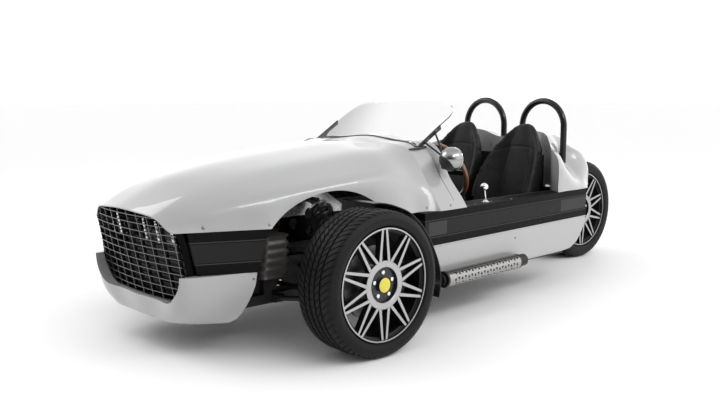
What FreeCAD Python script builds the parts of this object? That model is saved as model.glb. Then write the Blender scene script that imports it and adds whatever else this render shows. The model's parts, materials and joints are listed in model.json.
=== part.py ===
import FreeCAD, Part
import math
import os

import Sketcher
from FreeCAD import Placement, Rotation, Vector

# Open two-seat three-wheeled car: two steered wheels in front, one wheel behind.
# Frame: +X to the nose, +Y to the driver's left, +Z up, millimetres.
# The origin is on the floor, in the middle of the length and the width.

doc = FreeCAD.newDocument("three_wheeled_car")
sheet = doc.addObject("Spreadsheet::Sheet", "sizes")

SIZES = (
    # layout
    ("wheelbase", 2565),
    ("front_overhang", 765),
    ("floor_z", 172),
    # front wheels and tyres
    ("front_tyre_radius", 318.5),
    ("front_tyre_width", 225),
    ("front_wheel_y", 757.5),
    ("rim_radius", 246),
    ("barrel_radius", 231),
    ("barrel_wall", 9),
    ("rim_lip", 13),
    ("front_rim_width", 208),
    ("spoke_pairs", 10),
    ("spoke_width", 13),
    ("spoke_depth", 30),
    ("spoke_spread", 14),
    ("spoke_pinch", 3.4),
    ("hub_ring_radius", 106),
    ("hub_recess_radius", 76),
    ("hub_recess_depth", 14),
    ("hub_thickness", 44),
    ("hub_inset", 12),
    ("cap_radius", 31),
    ("lug_circle", 52),
    ("lug_radius", 9),
    # rear wheel and tyre
    ("rear_tyre_radius", 328),
    ("rear_tyre_width", 285),
    ("rear_rim_width", 270),
    # brakes, hubs and knuckles
    ("disc_radius", 160),
    ("disc_thickness", 24),
    ("disc_hat_radius", 74),
    ("disc_offset", 52),
    ("rear_disc_offset", 150),
    ("caliper_angle", 48),
    ("caliper_depth", 62),
    ("caliper_reach", 26),
    ("spindle_radius", 28),
    ("knuckle_ring_radius", 54),
    ("kingpin_y", 680),
    ("kingpin_radius", 18),
    ("upper_joint_z", 424),
    ("lower_joint_z", 218),
    ("joint_radius", 23),
    ("joint_height", 26),
    ("steer_arm_x", 122),
    ("steer_arm_y", 642),
    ("steer_arm_thickness", 16),
    ("rack_z", 252),
    ("rack_radius", 11),
    ("rack_housing_radius", 24),
    ("rack_housing_length", 460),
    ("rod_end_radius", 17),
    ("rod_end_height", 28),
    # front suspension and frame
    ("arm_tube_radius", 12),
    ("upper_arm_spread", 130),
    ("lower_arm_spread", 165),
    ("bush_radius", 19),
    ("bush_length", 46),
    ("rail_size", 44),
    ("rail_y", 290),
    ("lower_rail_z", 196),
    ("upper_rail_z", 424),
    ("spring_radius", 44),
    ("spring_wire", 12),
    ("coil_top_z", 636),
    ("drive_shaft_radius", 13),
    ("drive_boot_radius", 38),
    # engine and radiator
    ("engine_length", 420),
    ("engine_width", 470),
    ("engine_height", 390),
    ("engine_x", -540),
    ("gearbox_width", 300),
    ("gearbox_reach", 70),
    ("radiator_width", 560),
    ("radiator_height", 246),
    ("radiator_depth", 46),
    ("radiator_x", 610),
    ("radiator_z", 232),
    # nose
    ("skin", 6),
    ("seam", 0.4),
    ("fit", 0.3),
    ("nose_half_width", 358),
    ("nose_flare", 0.436),
    ("nose_bow", 57),
    ("nose_lean", 0.206),
    ("nose_lip_z", 556),
    ("nose_tip_z", 634),
    ("chin_top_z", 374),
    ("chin_bottom_z", 155),
    ("chin_round", 74),
    ("chin_shelf", 70),
    ("chin_proud", 14),
    ("chin_ledge", 6),
    ("chin_rear_x", 398),
    ("chin_half_width", 401),
    ("chin_flare", 0.33),
    ("mouth_half_width", 378),
    ("mouth_bottom_half", 235),
    ("mouth_bottom_z", 245),
    ("mouth_top_z", 640),
    ("grille_depth", 16),
    ("grille_inset", 5),
    ("bar_height", 3),
    ("bar_width", 3),
    ("bar_count", 11),
    ("slat_count", 10),
    ("lamp_height", 64),
    ("lamp_width", 130),
    ("lamp_depth", 60),
    ("nose_band_front", 46),
    ("nose_band_depth", 10),
    ("nose_band_rear_x", 346),
    ("nose_band_slope", 46),
    # bonnet and cowl
    ("bonnet_rear_x", -585),
    ("cowl_rear_x", -785),
    ("crown_rise", 46),
    ("cowl_crown_z", 884),
    ("arch_x", 16),
    ("arch_z", 250),
    ("arch_radius", 445),
    ("dash_thickness", 26),
    ("dash_bottom_z", 600),
    # cockpit
    ("side_half_width", 645),
    ("well_half_width", 472),
    ("wall", 10),
    ("side_top_z", 556),
    ("band_bottom_z", 391),
    ("sill_bottom_z", 204),
    ("side_front_x", -467),
    ("side_rear_x", -1956),
    ("side_rear_half", 550),
    ("groove", 3),
    ("groove_depth", 1.5),
    ("firewall_x", -572),
    ("bulkhead_x", -1830),
    ("back_panel_half", 330),
    ("back_panel_z", 746),
    ("sill_round", 188),
    ("sill_edge", 24),
    # windscreen and mirrors
    ("screen_thickness", 5),
    ("screen_half_width", 400),
    ("screen_base_x", -700),
    ("screen_base_z", 891),
    ("screen_top_x", -984),
    ("screen_top_z", 1086),
    ("screen_side_drop", 44),
    ("screen_corner", 92),
    ("bracket_thickness", 6),
    ("bracket_height", 26),
    ("mirror_radius", 60),
    ("mirror_x", -750),
    ("mirror_y", 552),
    ("mirror_z", 793),
    ("mirror_rod", 5),
    # seats
    ("seat_y", 230),
    ("seat_half_width", 196),
    ("seat_base_x", -1200),
    ("seat_base_z", 292),
    ("seat_top_x", -1768),
    ("seat_top_z", 938),
    ("seat_shell", 56),
    # steering wheel, shifter
    ("wheel_x", -1070),
    ("wheel_y", 205),
    ("wheel_z", 688),
    ("wheel_rim_radius", 176),
    ("wheel_rim_tube", 13),
    ("wheel_tilt", 24),
    ("column_radius", 19),
    ("shifter_x", -1009),
    ("shifter_y", 552),
    ("shifter_top_z", 634),
    ("shifter_ball", 21),
    # tail
    ("deck_front_x", -1530),
    ("deck_rear_x", -2212),
    ("deck_edge_z", 556),
    ("fairing_y", 226),
    ("fairing_top_z", 884),
    ("hoop_x", -1951),
    ("hoop_tube", 19),
    ("hoop_half_span", 153.5),
    ("hoop_y", 226.5),
    ("hoop_top_z", 1084),
    ("hoop_foot_z", 520),
    ("pivot_x", -1975),
    ("pivot_z", 300),
    ("pivot_radius", 32),
    ("arm_y", -190),
    ("arm_thickness", 52),
    ("arm_height", 96),
    ("shock_top_z", 500),
    ("lamp_bar_width", 400),
    ("lamp_bar_height", 34),
    # exhaust and mudguards
    ("shield_radius", 40),
    ("shield_wall", 2),
    ("shield_front_x", -560),
    ("shield_rear_x", -1160),
    ("pipe_radius", 27),
    ("pipe_wall", 2),
    ("exhaust_gap", 5),
    ("exhaust_z", 232),
    ("tip_x", -1236),
    ("hole_rows", 3),
    ("hole_pitch", 26),
    ("hole_size", 17),
    ("guard_thickness", 4),
    ("guard_inner_y", 545),
    ("guard_outer_y", 752),
)

for row, (alias, amount) in enumerate(SIZES, start=1):
    sheet.set("A%d" % row, alias)
    sheet.set("B%d" % row, str(amount))
    sheet.setAlias("B%d" % row, alias)
doc.recompute()


def size(alias):
    """The number that the sheet holds under this alias."""
    return float(sheet.get(alias))


# The front axle's place along the car, as an expression and as a number.
FRONT = "((sizes.wheelbase + sizes.rear_tyre_radius - sizes.front_overhang) / 2)"
REAR = "(%s - sizes.wheelbase)" % FRONT
front = (size("wheelbase") + size("rear_tyre_radius") - size("front_overhang")) / 2
rear = front - size("wheelbase")
ALONG_X = Vector(1, 0, 0)
ALONG_Y = Vector(0, 1, 0)
ALONG_Z = Vector(0, 0, 1)
subparts = []


def keep(made, node):
    """Names a finished piece and lists it for the export."""
    made.Label = node
    subparts.append(made)
    return made


def bind(made, **rules):
    """Ties properties of an object to expressions on the sheet."""
    for prop, rule in rules.items():
        made.setExpression(prop, rule)
    return made


def place(made, x, y, z):
    """Ties an object's place to expressions on the sheet."""
    made.setExpression("Placement.Base.x", x)
    made.setExpression("Placement.Base.y", y)
    made.setExpression("Placement.Base.z", z)
    return made


def box(name, corner, spans):
    """A block from its low corner and its spans, all of them expressions."""
    made = doc.addObject("Part::Box", name)
    bind(made, Length=spans[0], Width=spans[1], Height=spans[2])
    return place(made, *corner)


def rod(name, start, end, radius_rule):
    """A round bar between two points."""
    made = doc.addObject("Part::Cylinder", name)
    bind(made, Radius=radius_rule)
    made.Height = (end - start).Length
    made.Placement = Placement(start, Rotation(ALONG_Z, end - start))
    return made


def fuse(name, pieces):
    made = doc.addObject("Part::MultiFuse", name)
    made.Shapes = pieces
    return made


def cut(name, base, tool):
    made = doc.addObject("Part::Cut", name)
    made.Base = base
    made.Tool = tool
    return made


def group(name, pieces):
    """Solids that share a node and don't touch."""
    made = doc.addObject("Part::Compound", name)
    made.Links = pieces
    return made


def mirrored(name, source):
    """The same piece on the other side of the car."""
    made = doc.addObject("Part::Mirroring", name)
    made.Source = source
    made.Base = Vector(0, 0, 0)
    made.Normal = ALONG_Y
    return made


def feature(name, shape):
    """A piece whose curved form is set as a shape."""
    made = doc.addObject("Part::Feature", name)
    made.Shape = shape
    return made


def new_body(name):
    return doc.addObject("PartDesign::Body", name)


def plane(owner, role):
    for found in owner.Origin.OriginFeatures:
        if found.Role == role:
            return found


def sketch(owner, role, name):
    made = owner.newObject("Sketcher::SketchObject", name)
    made.AttachmentSupport = [(plane(owner, role), "")]
    made.MapMode = "FlatFace"
    return made


def outline(made, corners):
    """A closed outline of straight lines, with every corner tied to the sheet."""
    spots = [Vector(made.evalExpression(x), made.evalExpression(y), 0) for x, y in corners]
    count = len(spots)
    first = made.GeometryCount
    for i in range(count):
        made.addGeometry(Part.LineSegment(spots[i], spots[(i + 1) % count]), False)
    for i in range(count):
        made.addConstraint(Sketcher.Constraint("Coincident", first + i, 2, first + (i + 1) % count, 1))
    for i in range(count):
        for kind, rule, amount in (("DistanceX", corners[i][0], spots[i].x),
                                   ("DistanceY", corners[i][1], spots[i].y)):
            number = made.addConstraint(Sketcher.Constraint(kind, -1, 1, first + i, 1, amount))
            made.setExpression("Constraints[%d]" % number, rule)


def circle(made, x, y, radius):
    """A circle tied to the sheet."""
    spot = Vector(made.evalExpression(x), made.evalExpression(y), 0)
    across = made.evalExpression(radius)
    index = made.addGeometry(Part.Circle(spot, ALONG_Z, across), False)
    for kind, rule, amount in (("DistanceX", x, spot.x), ("DistanceY", y, spot.y)):
        number = made.addConstraint(Sketcher.Constraint(kind, -1, 1, index, 3, amount))
        made.setExpression("Constraints[%d]" % number, rule)
    number = made.addConstraint(Sketcher.Constraint("Radius", index, across))
    made.setExpression("Constraints[%d]" % number, radius)


def revolve(owner, profile, axis):
    """Turns a profile once round an axis of its sketch."""
    made = owner.newObject("PartDesign::Revolution", "turned")
    made.Profile = profile
    made.ReferenceAxis = (profile, [axis])
    made.Angle = 360
    return made


def pad(owner, profile, length_rule, name="pad", middle=False, turned=False):
    made = owner.newObject("PartDesign::Pad", name)
    made.Profile = profile
    bind(made, Length=length_rule)
    made.Midplane = middle
    made.Reversed = turned
    return made


# Curves that the body panels share. Each guide is a short run of points, given
# as distance from the front axle, then width and height.

def along(guide, x):
    """The point of a guide at a place along the car, by a smooth cubic."""
    last = len(guide) - 1
    i = 0
    while i < last - 1 and x < guide[i + 1][0]:
        i += 1
    span = guide[i + 1][0] - guide[i][0]
    share = (x - guide[i][0]) / span
    found = []
    for k in range(1, len(guide[0])):
        slopes = []
        for j in (i, i + 1):
            before = max(j - 1, 0)
            after = min(j + 1, last)
            slopes.append((guide[after][k] - guide[before][k]) / (guide[after][0] - guide[before][0]))
        low, high = guide[i][k], guide[i + 1][k]
        found.append((2 * share ** 3 - 3 * share ** 2 + 1) * low + (3 * share ** 2 - 2 * share ** 3) * high
                     + span * ((share ** 3 - 2 * share ** 2 + share) * slopes[0]
                               + (share ** 3 - share ** 2) * slopes[1]))
    return found


nose_x = size("front_overhang")
corner_x = nose_x - size("nose_bow")
half_nose = size("nose_half_width")
edge_z = size("nose_lip_z")
cowl_z = size("cowl_crown_z")
side_y = size("side_half_width")
seam_x = size("bonnet_rear_x")
side_taper = ((side_y - size("side_rear_half")) / (size("side_front_x") - size("side_rear_x")))

CROWN = ((nose_x + 5, edge_z + 77), (corner_x - 48, edge_z + 132), (525, edge_z + 189),
         (357, cowl_z - 98), (138, cowl_z - 64), (-65, cowl_z - 41), (-300, cowl_z - 20),
         (seam_x, cowl_z), (-1000, cowl_z + 22))
CREASE = ((nose_x + 5, half_nose - 178, edge_z + 60), (corner_x + 2, half_nose - 128, edge_z + 84),
          (615, half_nose - 87, edge_z + 122), (484, 322, edge_z + 158),
          (327, 352, cowl_z - 134), (138, 366, cowl_z - 102), (-65, 376, cowl_z - 80),
          (-300, 395, cowl_z - 62), (seam_x, 412, cowl_z - 46), (-1000, 432, cowl_z - 32))
BEND = ((nose_x + 5, half_nose - 58, edge_z + 32), (corner_x, half_nose - 27, edge_z + 12),
        (615, half_nose + 20, edge_z + 56), (484, half_nose + 78, edge_z + 94),
        (327, 492, edge_z + 125), (138, 534, edge_z + 147), (-65, 545, edge_z + 166),
        (-300, side_y - 114, edge_z + 185), (seam_x, side_y - 140, edge_z + 186),
        (-1000, side_y - 146, edge_z + 120))
EDGE = ((nose_x + 5, half_nose - 27), (corner_x, half_nose), (640, half_nose + 30), (514, half_nose + 85),
        (420, half_nose + 126), (320, half_nose + 169), (-65, side_y - 97), (-300, side_y - 60), (seam_x, side_y - 8), (-1000, side_y - 35))


def bonnet_section(x):
    """Half of the bonnet's cross-section, from its lower edge up to the crown."""
    top = along(CROWN, x)[0]
    crease_y, crease_z = along(CREASE, x)
    bend_y, bend_z = along(BEND, x)
    edge_y = along(EDGE, x)[0]
    return [(edge_y, edge_z), ((edge_y + bend_y) / 2 + 1, (edge_z + bend_z) / 2), (bend_y, bend_z),
            ((bend_y + crease_y) / 2 + 5, (bend_z + crease_z) / 2 + 7), (crease_y, crease_z),
            (crease_y * 0.55, top - (top - crease_z) * 0.34), (0.0, top)]


def ring_wire(x, half, thickness):
    """A closed thin section across the car: a smooth outside and an inside."""
    outer = half + [(-y, z) for y, z in reversed(half[:-1])]
    inner = []
    last = len(outer) - 1
    for i, (y, z) in enumerate(outer):
        back = outer[max(i - 1, 0)]
        ahead = outer[min(i + 1, last)]
        dy, dz = ahead[0] - back[0], ahead[1] - back[1]
        length = math.hypot(dy, dz)
        inner.append((y - dz / length * thickness, z + dy / length * thickness))
    for end in (0, last):
        inner[end] = (inner[end][0], outer[end][1])
    edges = []
    for run in (outer, inner):
        curve = Part.BSplineCurve()
        curve.interpolate([Vector(x, y, z) for y, z in run])
        edges.append(curve.toShape())
    feet = [Part.makeLine(Vector(x, *outer[end]), Vector(x, *inner[end])) for end in (0, last)]
    return Part.Wire([edges[0], feet[1], edges[1], feet[0]])


def ring_loft(section, stations, thickness):
    """A thin panel through closed sections at stations measured from the front axle."""
    wires = [ring_wire(front + x, section(x), thickness) for x in stations]
    return Part.makeLoft(wires, True, False)


def solid_wire(x, half):
    """A closed full section across the car, flat at its foot."""
    outer = half + [(-y, z) for y, z in reversed(half[:-1])]
    curve = Part.BSplineCurve()
    curve.interpolate([Vector(x, y, z) for y, z in outer])
    foot = Part.makeLine(Vector(x, *outer[-1]), Vector(x, *outer[0]))
    return Part.Wire([curve.toShape(), foot])


def body_solid(stations, gap):
    """The space inside the body's outer skin, grown by a gap, for trimming what seats on it."""
    wires = []
    for x in stations:
        half = [(y + gap, z + gap) for y, z in bonnet_section(x)[:-1]] + [(0.0, bonnet_section(x)[-1][1] + gap)]
        half[0] = (half[0][0], edge_z - abs(gap))
        wires.append(solid_wire(front + x, half))
    return Part.makeLoft(wires, True, False)


def nose_face(inset, z, ahead):
    """The nose's plan outline at a height: bowed front, flared sides."""
    lean = size("nose_lean") * (edge_z - z)
    tip = front + nose_x - size("nose_lean") * (size("nose_tip_z") - z) - inset + ahead
    corner = front + corner_x - lean - inset + ahead
    corner_y = half_nose + size("nose_flare") * (lean + inset - ahead) - inset * 1.1
    back = front + seam_x - 100
    back_y = corner_y + size("nose_flare") * (corner - back)
    arc = Part.Arc(Vector(corner, -corner_y, z), Vector(tip, 0, z), Vector(corner, corner_y, z)).toShape()
    lines = [Part.makeLine(Vector(corner, corner_y, z), Vector(back, back_y, z)),
             Part.makeLine(Vector(back, back_y, z), Vector(back, -back_y, z)),
             Part.makeLine(Vector(back, -back_y, z), Vector(corner, -corner_y, z))]
    return Part.Wire([arc] + lines)


def nose_prism(inset, low, high, ahead=0):
    """The space behind the leaning, bowed front of the nose, which may be moved ahead."""
    return Part.makeLoft([nose_face(inset, low, ahead), nose_face(inset, high, ahead)], True, True)


def front_prism(corners, back, ahead):
    """A front-view outline carried along the car."""
    spots = [Vector(front + back, y, z) for y, z in corners]
    return Part.Face(Part.makePolygon(spots + spots[:1])).extrude(Vector(ahead - back, 0, 0))


def side_prism(corners, low_y, high_y):
    """A side-view outline, measured from the front axle, carried across the car."""
    spots = [Vector(front + x, low_y, z) for x, z in corners]
    return Part.Face(Part.makePolygon(spots + spots[:1])).extrude(Vector(0, high_y - low_y, 0))


def mouth_outline(margin):
    """The grille opening seen from the front, grown by a margin."""
    half = size("mouth_half_width") + margin
    low = size("mouth_bottom_z") - margin
    low_half = size("mouth_bottom_half") + margin * 0.5
    top = size("mouth_top_z") + margin
    right_side = [(low_half - 10, low), (half - 120, low + 1), (half - 93, low + 7), (half - 69, low + 19),
                  (half - 48, low + 37), (half - 28, low + 56), (half - 12, low + 79), (half - 3, low + 103),
                  (half, low + 128), (half - 6, low + 235), (half - 18, edge_z + 12), (half - 50, edge_z + 24),
                  (half - 100, top - 14), (0, top)]
    return right_side + [(-y, z) for y, z in reversed(right_side[:-1])]


# Bonnet: one long shell from the nose to the cowl seam, cut round the front wheels.
STATIONS = [nose_x + 4, 712, 660, 600, 520, 430, 327, 210, 80, -65, -220, -380, seam_x + size("seam") / 2]
shell = ring_loft(bonnet_section, STATIONS, size("skin"))
beyond = Part.makeBox(200, 1000, 300, Vector(front + corner_x - 12, -500, edge_z - 50))
shell = shell.cut(beyond.cut(nose_prism(0, edge_z - 60, edge_z + 260)))
arch = Part.makeCylinder(size("arch_radius"), 2 * side_y + 100,
                         Vector(front + size("arch_x"), -side_y - 50, size("arch_z")), ALONG_Y)
shell = shell.cut(arch)
keep(feature("bonnet_shell", shell), "bonnet")

# Cowl: the panel between the bonnet's seam and the cockpit opening.
cowl_stations = [seam_x - size("seam") / 2, -640, -710, size("cowl_rear_x")]
cowl = ring_loft(bonnet_section, cowl_stations, size("skin"))
keep(feature("cowl_shell", cowl), "cowl")


def chin_outline(z, tip, corner, corner_y, rear_y, fullness):
    """The white lower nose in plan at one height: bowed front, rounded corners, flared sides."""
    rear_x = size("chin_rear_x") - 60
    half = [(rear_x, rear_y), (corner - 110, corner_y + (rear_y - corner_y) * fullness),
            (corner - 34, corner_y + 12 + (fullness - 0.33) * 240), (corner, corner_y - 3),
            (tip - (tip - corner) * 0.3, corner_y * 0.52)]
    points = half + [(tip, 0.0)] + [(x, -y) for x, y in reversed(half)]
    curve = Part.BSplineCurve()
    curve.interpolate([Vector(front + x, y, z) for x, y in points])
    back = Part.makeLine(Vector(front + rear_x, -rear_y, z), Vector(front + rear_x, rear_y, z))
    return Part.Wire([curve.toShape(), back])


def chin_form(inset, low, high):
    """The lower nose as a block, rounded under both corners, drawn in by an inset."""
    top = size("chin_top_z")
    bottom = size("chin_bottom_z")
    proud = size("chin_proud")
    tall = top - bottom
    wide = size("chin_half_width")
    flare = size("chin_flare") * (corner_x - size("chin_rear_x") + 30)
    wires = []
    for share, narrow, rear_in in ((0.0, 161, 37), (0.16, 76, 20), (0.46, 23, 8), (0.78, 3, 2), (1.0, 0, 0)):
        z = bottom + tall * share
        lean = size("nose_lean") * (edge_z - z)
        tip = nose_x + (size("nose_lip_z") - size("nose_tip_z")) * size("nose_lean") - lean + proud
        corner = corner_x - size("nose_lean") * (edge_z - top) + proud - 0.06 * tall * (1 - share)
        wires.append(chin_outline(low + (high - low) * share, tip - inset, corner - inset,
                                  wide - narrow - inset, wide + flare - rear_in - inset, 0.33 + narrow / 800))
    return Part.makeLoft(wires, True, False)


def chin():
    """White lower nose: a U round the grille that stands proud of the bands, wrapped back along both sides."""
    top = size("chin_top_z")
    low = size("chin_bottom_z")
    turn = size("chin_round")
    rear_x = size("chin_rear_x")
    skin = size("skin")
    mouth = front_prism(mouth_outline(0), 400, nose_x + 50)
    collar = front_prism(mouth_outline(skin), 400, nose_x + 50)
    collar = collar.cut(nose_prism(size("grille_inset") + size("grille_depth") + skin, low - 10, edge_z))
    hollow = chin_form(skin, low + skin, top - size("chin_ledge")).cut(collar)
    shell = chin_form(0, low, top).cut(hollow)
    shell = shell.cut(nose_prism(skin, top - size("chin_ledge") - 1, top + 10))
    shell = shell.cut(nose_prism(size("chin_shelf"), low - 5, low + skin + 5))
    arc = [(rear_x - 4, top + 5), (rear_x, top - turn * 0.7), (rear_x + turn * 0.14, top - turn * 1.35),
           (rear_x + turn * 0.32, low + turn * 0.95), (rear_x + turn * 0.5, low + turn * 0.5),
           (rear_x + turn * 0.76, low + turn * 0.19), (rear_x + turn * 1.16, low)]
    back = side_prism([(seam_x - 200, low - 20), (seam_x - 200, top + 20), (arc[0][0], top + 20)] + arc
                      + [(rear_x + turn * 1.16, low - 20)], -2 * side_y, 2 * side_y)
    shell = shell.cut(back).cut(mouth)
    return max(shell.Solids, key=lambda solid: solid.Volume)


keep(feature("chin_shell", chin()), "front_fascia")


def band_zone(margin):
    """The space of the left nose band, grown by a margin."""
    low = size("chin_top_z") + size("seam") - margin
    high = edge_z - size("seam") + margin
    lean = size("nose_lean")
    shell = nose_prism(-margin, low, high).cut(nose_prism(size("nose_band_depth") + margin, low - 1, high + 1))
    rear_x = size("nose_band_rear_x")
    ahead = corner_x - size("nose_band_front") + margin
    side = side_prism([(rear_x, high + 5), (rear_x + size("nose_band_slope"), low - 5),
                       (ahead - lean * (high - low), low - 5), (ahead, high + 5)], 200, 900)
    return shell.common(side)


def grille():
    """Egg-crate grille: crossing bars cut from one slab that is bowed and leans with the nose."""
    low = size("mouth_bottom_z") - 2
    high = size("mouth_top_z") + 2
    inset = size("grille_inset")
    slab = nose_prism(inset, low, high).cut(nose_prism(inset + size("grille_depth"), low - 1, high + 1))
    slab = slab.common(Part.makeBox(400, 1000, 600, Vector(front + corner_x - 100, -500, low)))
    half = size("mouth_half_width")
    bars = []
    pitch = (high - low) / (size("bar_count") + 1)
    for i in range(int(size("bar_count"))):
        z = low + pitch * (i + 1) - size("bar_height") / 2
        bars.append(Part.makeBox(500, 2 * half + 20, size("bar_height"), Vector(front + 400, -half - 10, z)))
    pitch = 2 * half / size("slat_count")
    for i in range(int(size("slat_count"))):
        y = -half + pitch * (i + 0.5) - size("bar_width") / 2
        bars.append(Part.makeBox(500, size("bar_width"), high - low, Vector(front + 400, y, low)))
    rim = front_prism(mouth_outline(-0.4), 400, nose_x + 50).cut(front_prism(mouth_outline(-7), 400, nose_x + 51))
    lattice = bars[0].multiFuse(bars[1:])
    lattice = lattice.common(front_prism(mouth_outline(-3), 400, nose_x + 50))
    lattice = lattice.fuse(rim).common(slab)
    lip = ring_loft(bonnet_section, [nose_x + 4, 712, 660, 600], size("skin") + size("fit") + 0.2)
    clear = band_zone(size("fit"))
    lattice = lattice.cut([lip, clear, clear.mirror(Vector(0, 0, 0), ALONG_Y)])
    return max(lattice.removeSplitter().Solids, key=lambda solid: solid.Volume)


keep(feature("grille_bars", grille()), "grille")


def surround():
    """Black duct behind the grille, from its edge back to the radiator."""
    start = size("radiator_x") + size("fit")
    outer = front_prism(mouth_outline(-0.6), start, nose_x + 50)
    inner = front_prism(mouth_outline(-5), start - 1, nose_x + 51)
    depth = size("grille_inset") + size("grille_depth") + size("fit")
    low, high = size("mouth_bottom_z") - 10, size("mouth_top_z") + 10
    hollow = inner.common(nose_prism(depth + 5, low - 1, high + 1, 60))
    above = Part.makeBox(300, 900, 160, Vector(front + 500, -450, edge_z - 5))
    above = above.cut(body_solid([nose_x + 4, 712, 660, 600, 480], -size("skin") - size("fit")))
    clear = band_zone(size("fit"))
    duct = outer.common(nose_prism(depth, low, high)).cut(hollow)
    duct = duct.cut([above, clear, clear.mirror(Vector(0, 0, 0), ALONG_Y)])
    return max(duct.Solids, key=lambda solid: solid.Volume)


keep(feature("duct", surround()), "grille_surround")

# Headlamps in the upper corners behind the grille.
LAMP_X = FRONT + " + sizes.front_overhang - sizes.nose_bow - sizes.lamp_depth - 66"
lamp_y = "sizes.nose_half_width - sizes.lamp_width - 50"
lamp_box = box("lamp_box", (LAMP_X, lamp_y, "sizes.nose_lip_z - sizes.lamp_height - 6"),
               ("sizes.lamp_depth", "sizes.lamp_width", "sizes.lamp_height"))
stalk_x = FRONT + " + sizes.radiator_x - sizes.radiator_depth - 24"
stalk = box("lamp_stalk", (stalk_x, lamp_y, "sizes.upper_rail_z + sizes.rail_size / 2 + sizes.fit"),
            ("20", "30", "sizes.nose_lip_z - sizes.lamp_height - sizes.upper_rail_z - sizes.rail_size / 2 + 8"))
arm = box("lamp_arm", (stalk_x, lamp_y, "sizes.nose_lip_z - sizes.lamp_height - 4"),
          (LAMP_X + " - (" + stalk_x + ") + 10", "30", "12"))
lamp_left = fuse("lamp_left", [lamp_box, stalk, arm])
lamp_right = mirrored("lamp_right", lamp_left)
keep(group("lamp_pair", [lamp_left, lamp_right]), "headlamps")


def radiator():
    """Radiator core with a row of level fins and a tank at each end."""
    depth = size("radiator_depth")
    wide = size("radiator_width")
    tall = size("radiator_height")
    x = front + size("radiator_x") - depth
    z = size("radiator_z")
    tank = 40.0
    core = Part.makeBox(depth * 0.6, wide, tall, Vector(x + depth * 0.2, -wide / 2, z))
    pieces = [Part.makeBox(depth, tank, tall, Vector(x, side, z)) for side in (-wide / 2, wide / 2 - tank)]
    count = 14
    for i in range(count):
        height = z + tall * (i + 0.5) / count
        pieces.append(Part.makeBox(depth * 0.9, wide - 2 * tank, 6, Vector(x + depth * 0.05, -wide / 2 + tank, height)))
    return core.multiFuse(pieces).removeSplitter()


keep(feature("radiator_core", radiator()), "radiator")


def nose_band():
    """Black band on the nose's left side, between the bonnet's edge and the chin."""
    low = size("chin_top_z") + size("seam")
    high = edge_z - size("seam")
    shell = band_zone(0)
    groove_low = low + (high - low) * 0.27
    groove_high = low + (high - low) * 0.73
    for z in (groove_low, groove_high):
        ring = nose_prism(-1, z, z + size("groove")).cut(nose_prism(size("groove_depth"), z - 1, z + 9))
        shell = shell.cut(ring)
    return shell


band_left = feature("nose_band_left_shape", nose_band())
band_right = mirrored("nose_band_right_shape", band_left)
keep(group("nose_band_pair", [band_left, band_right]), "nose_bands")


INNER_Y = "(sizes.well_half_width + sizes.wall)"


def side_slab(name, sign, low, height, corners):
    """A level slab along one cockpit side, from its plan corners."""
    made = new_body(name)
    plan = sketch(made, "XY_Plane", name + "_plan")
    outline(plan, [(FRONT + " + " + x, "%d * (%s)" % (sign, y)) for x, y in corners])
    pad(made, plan, height, name + "_pad")
    made.setExpression("Placement.Base.z", low)
    return made


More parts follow.
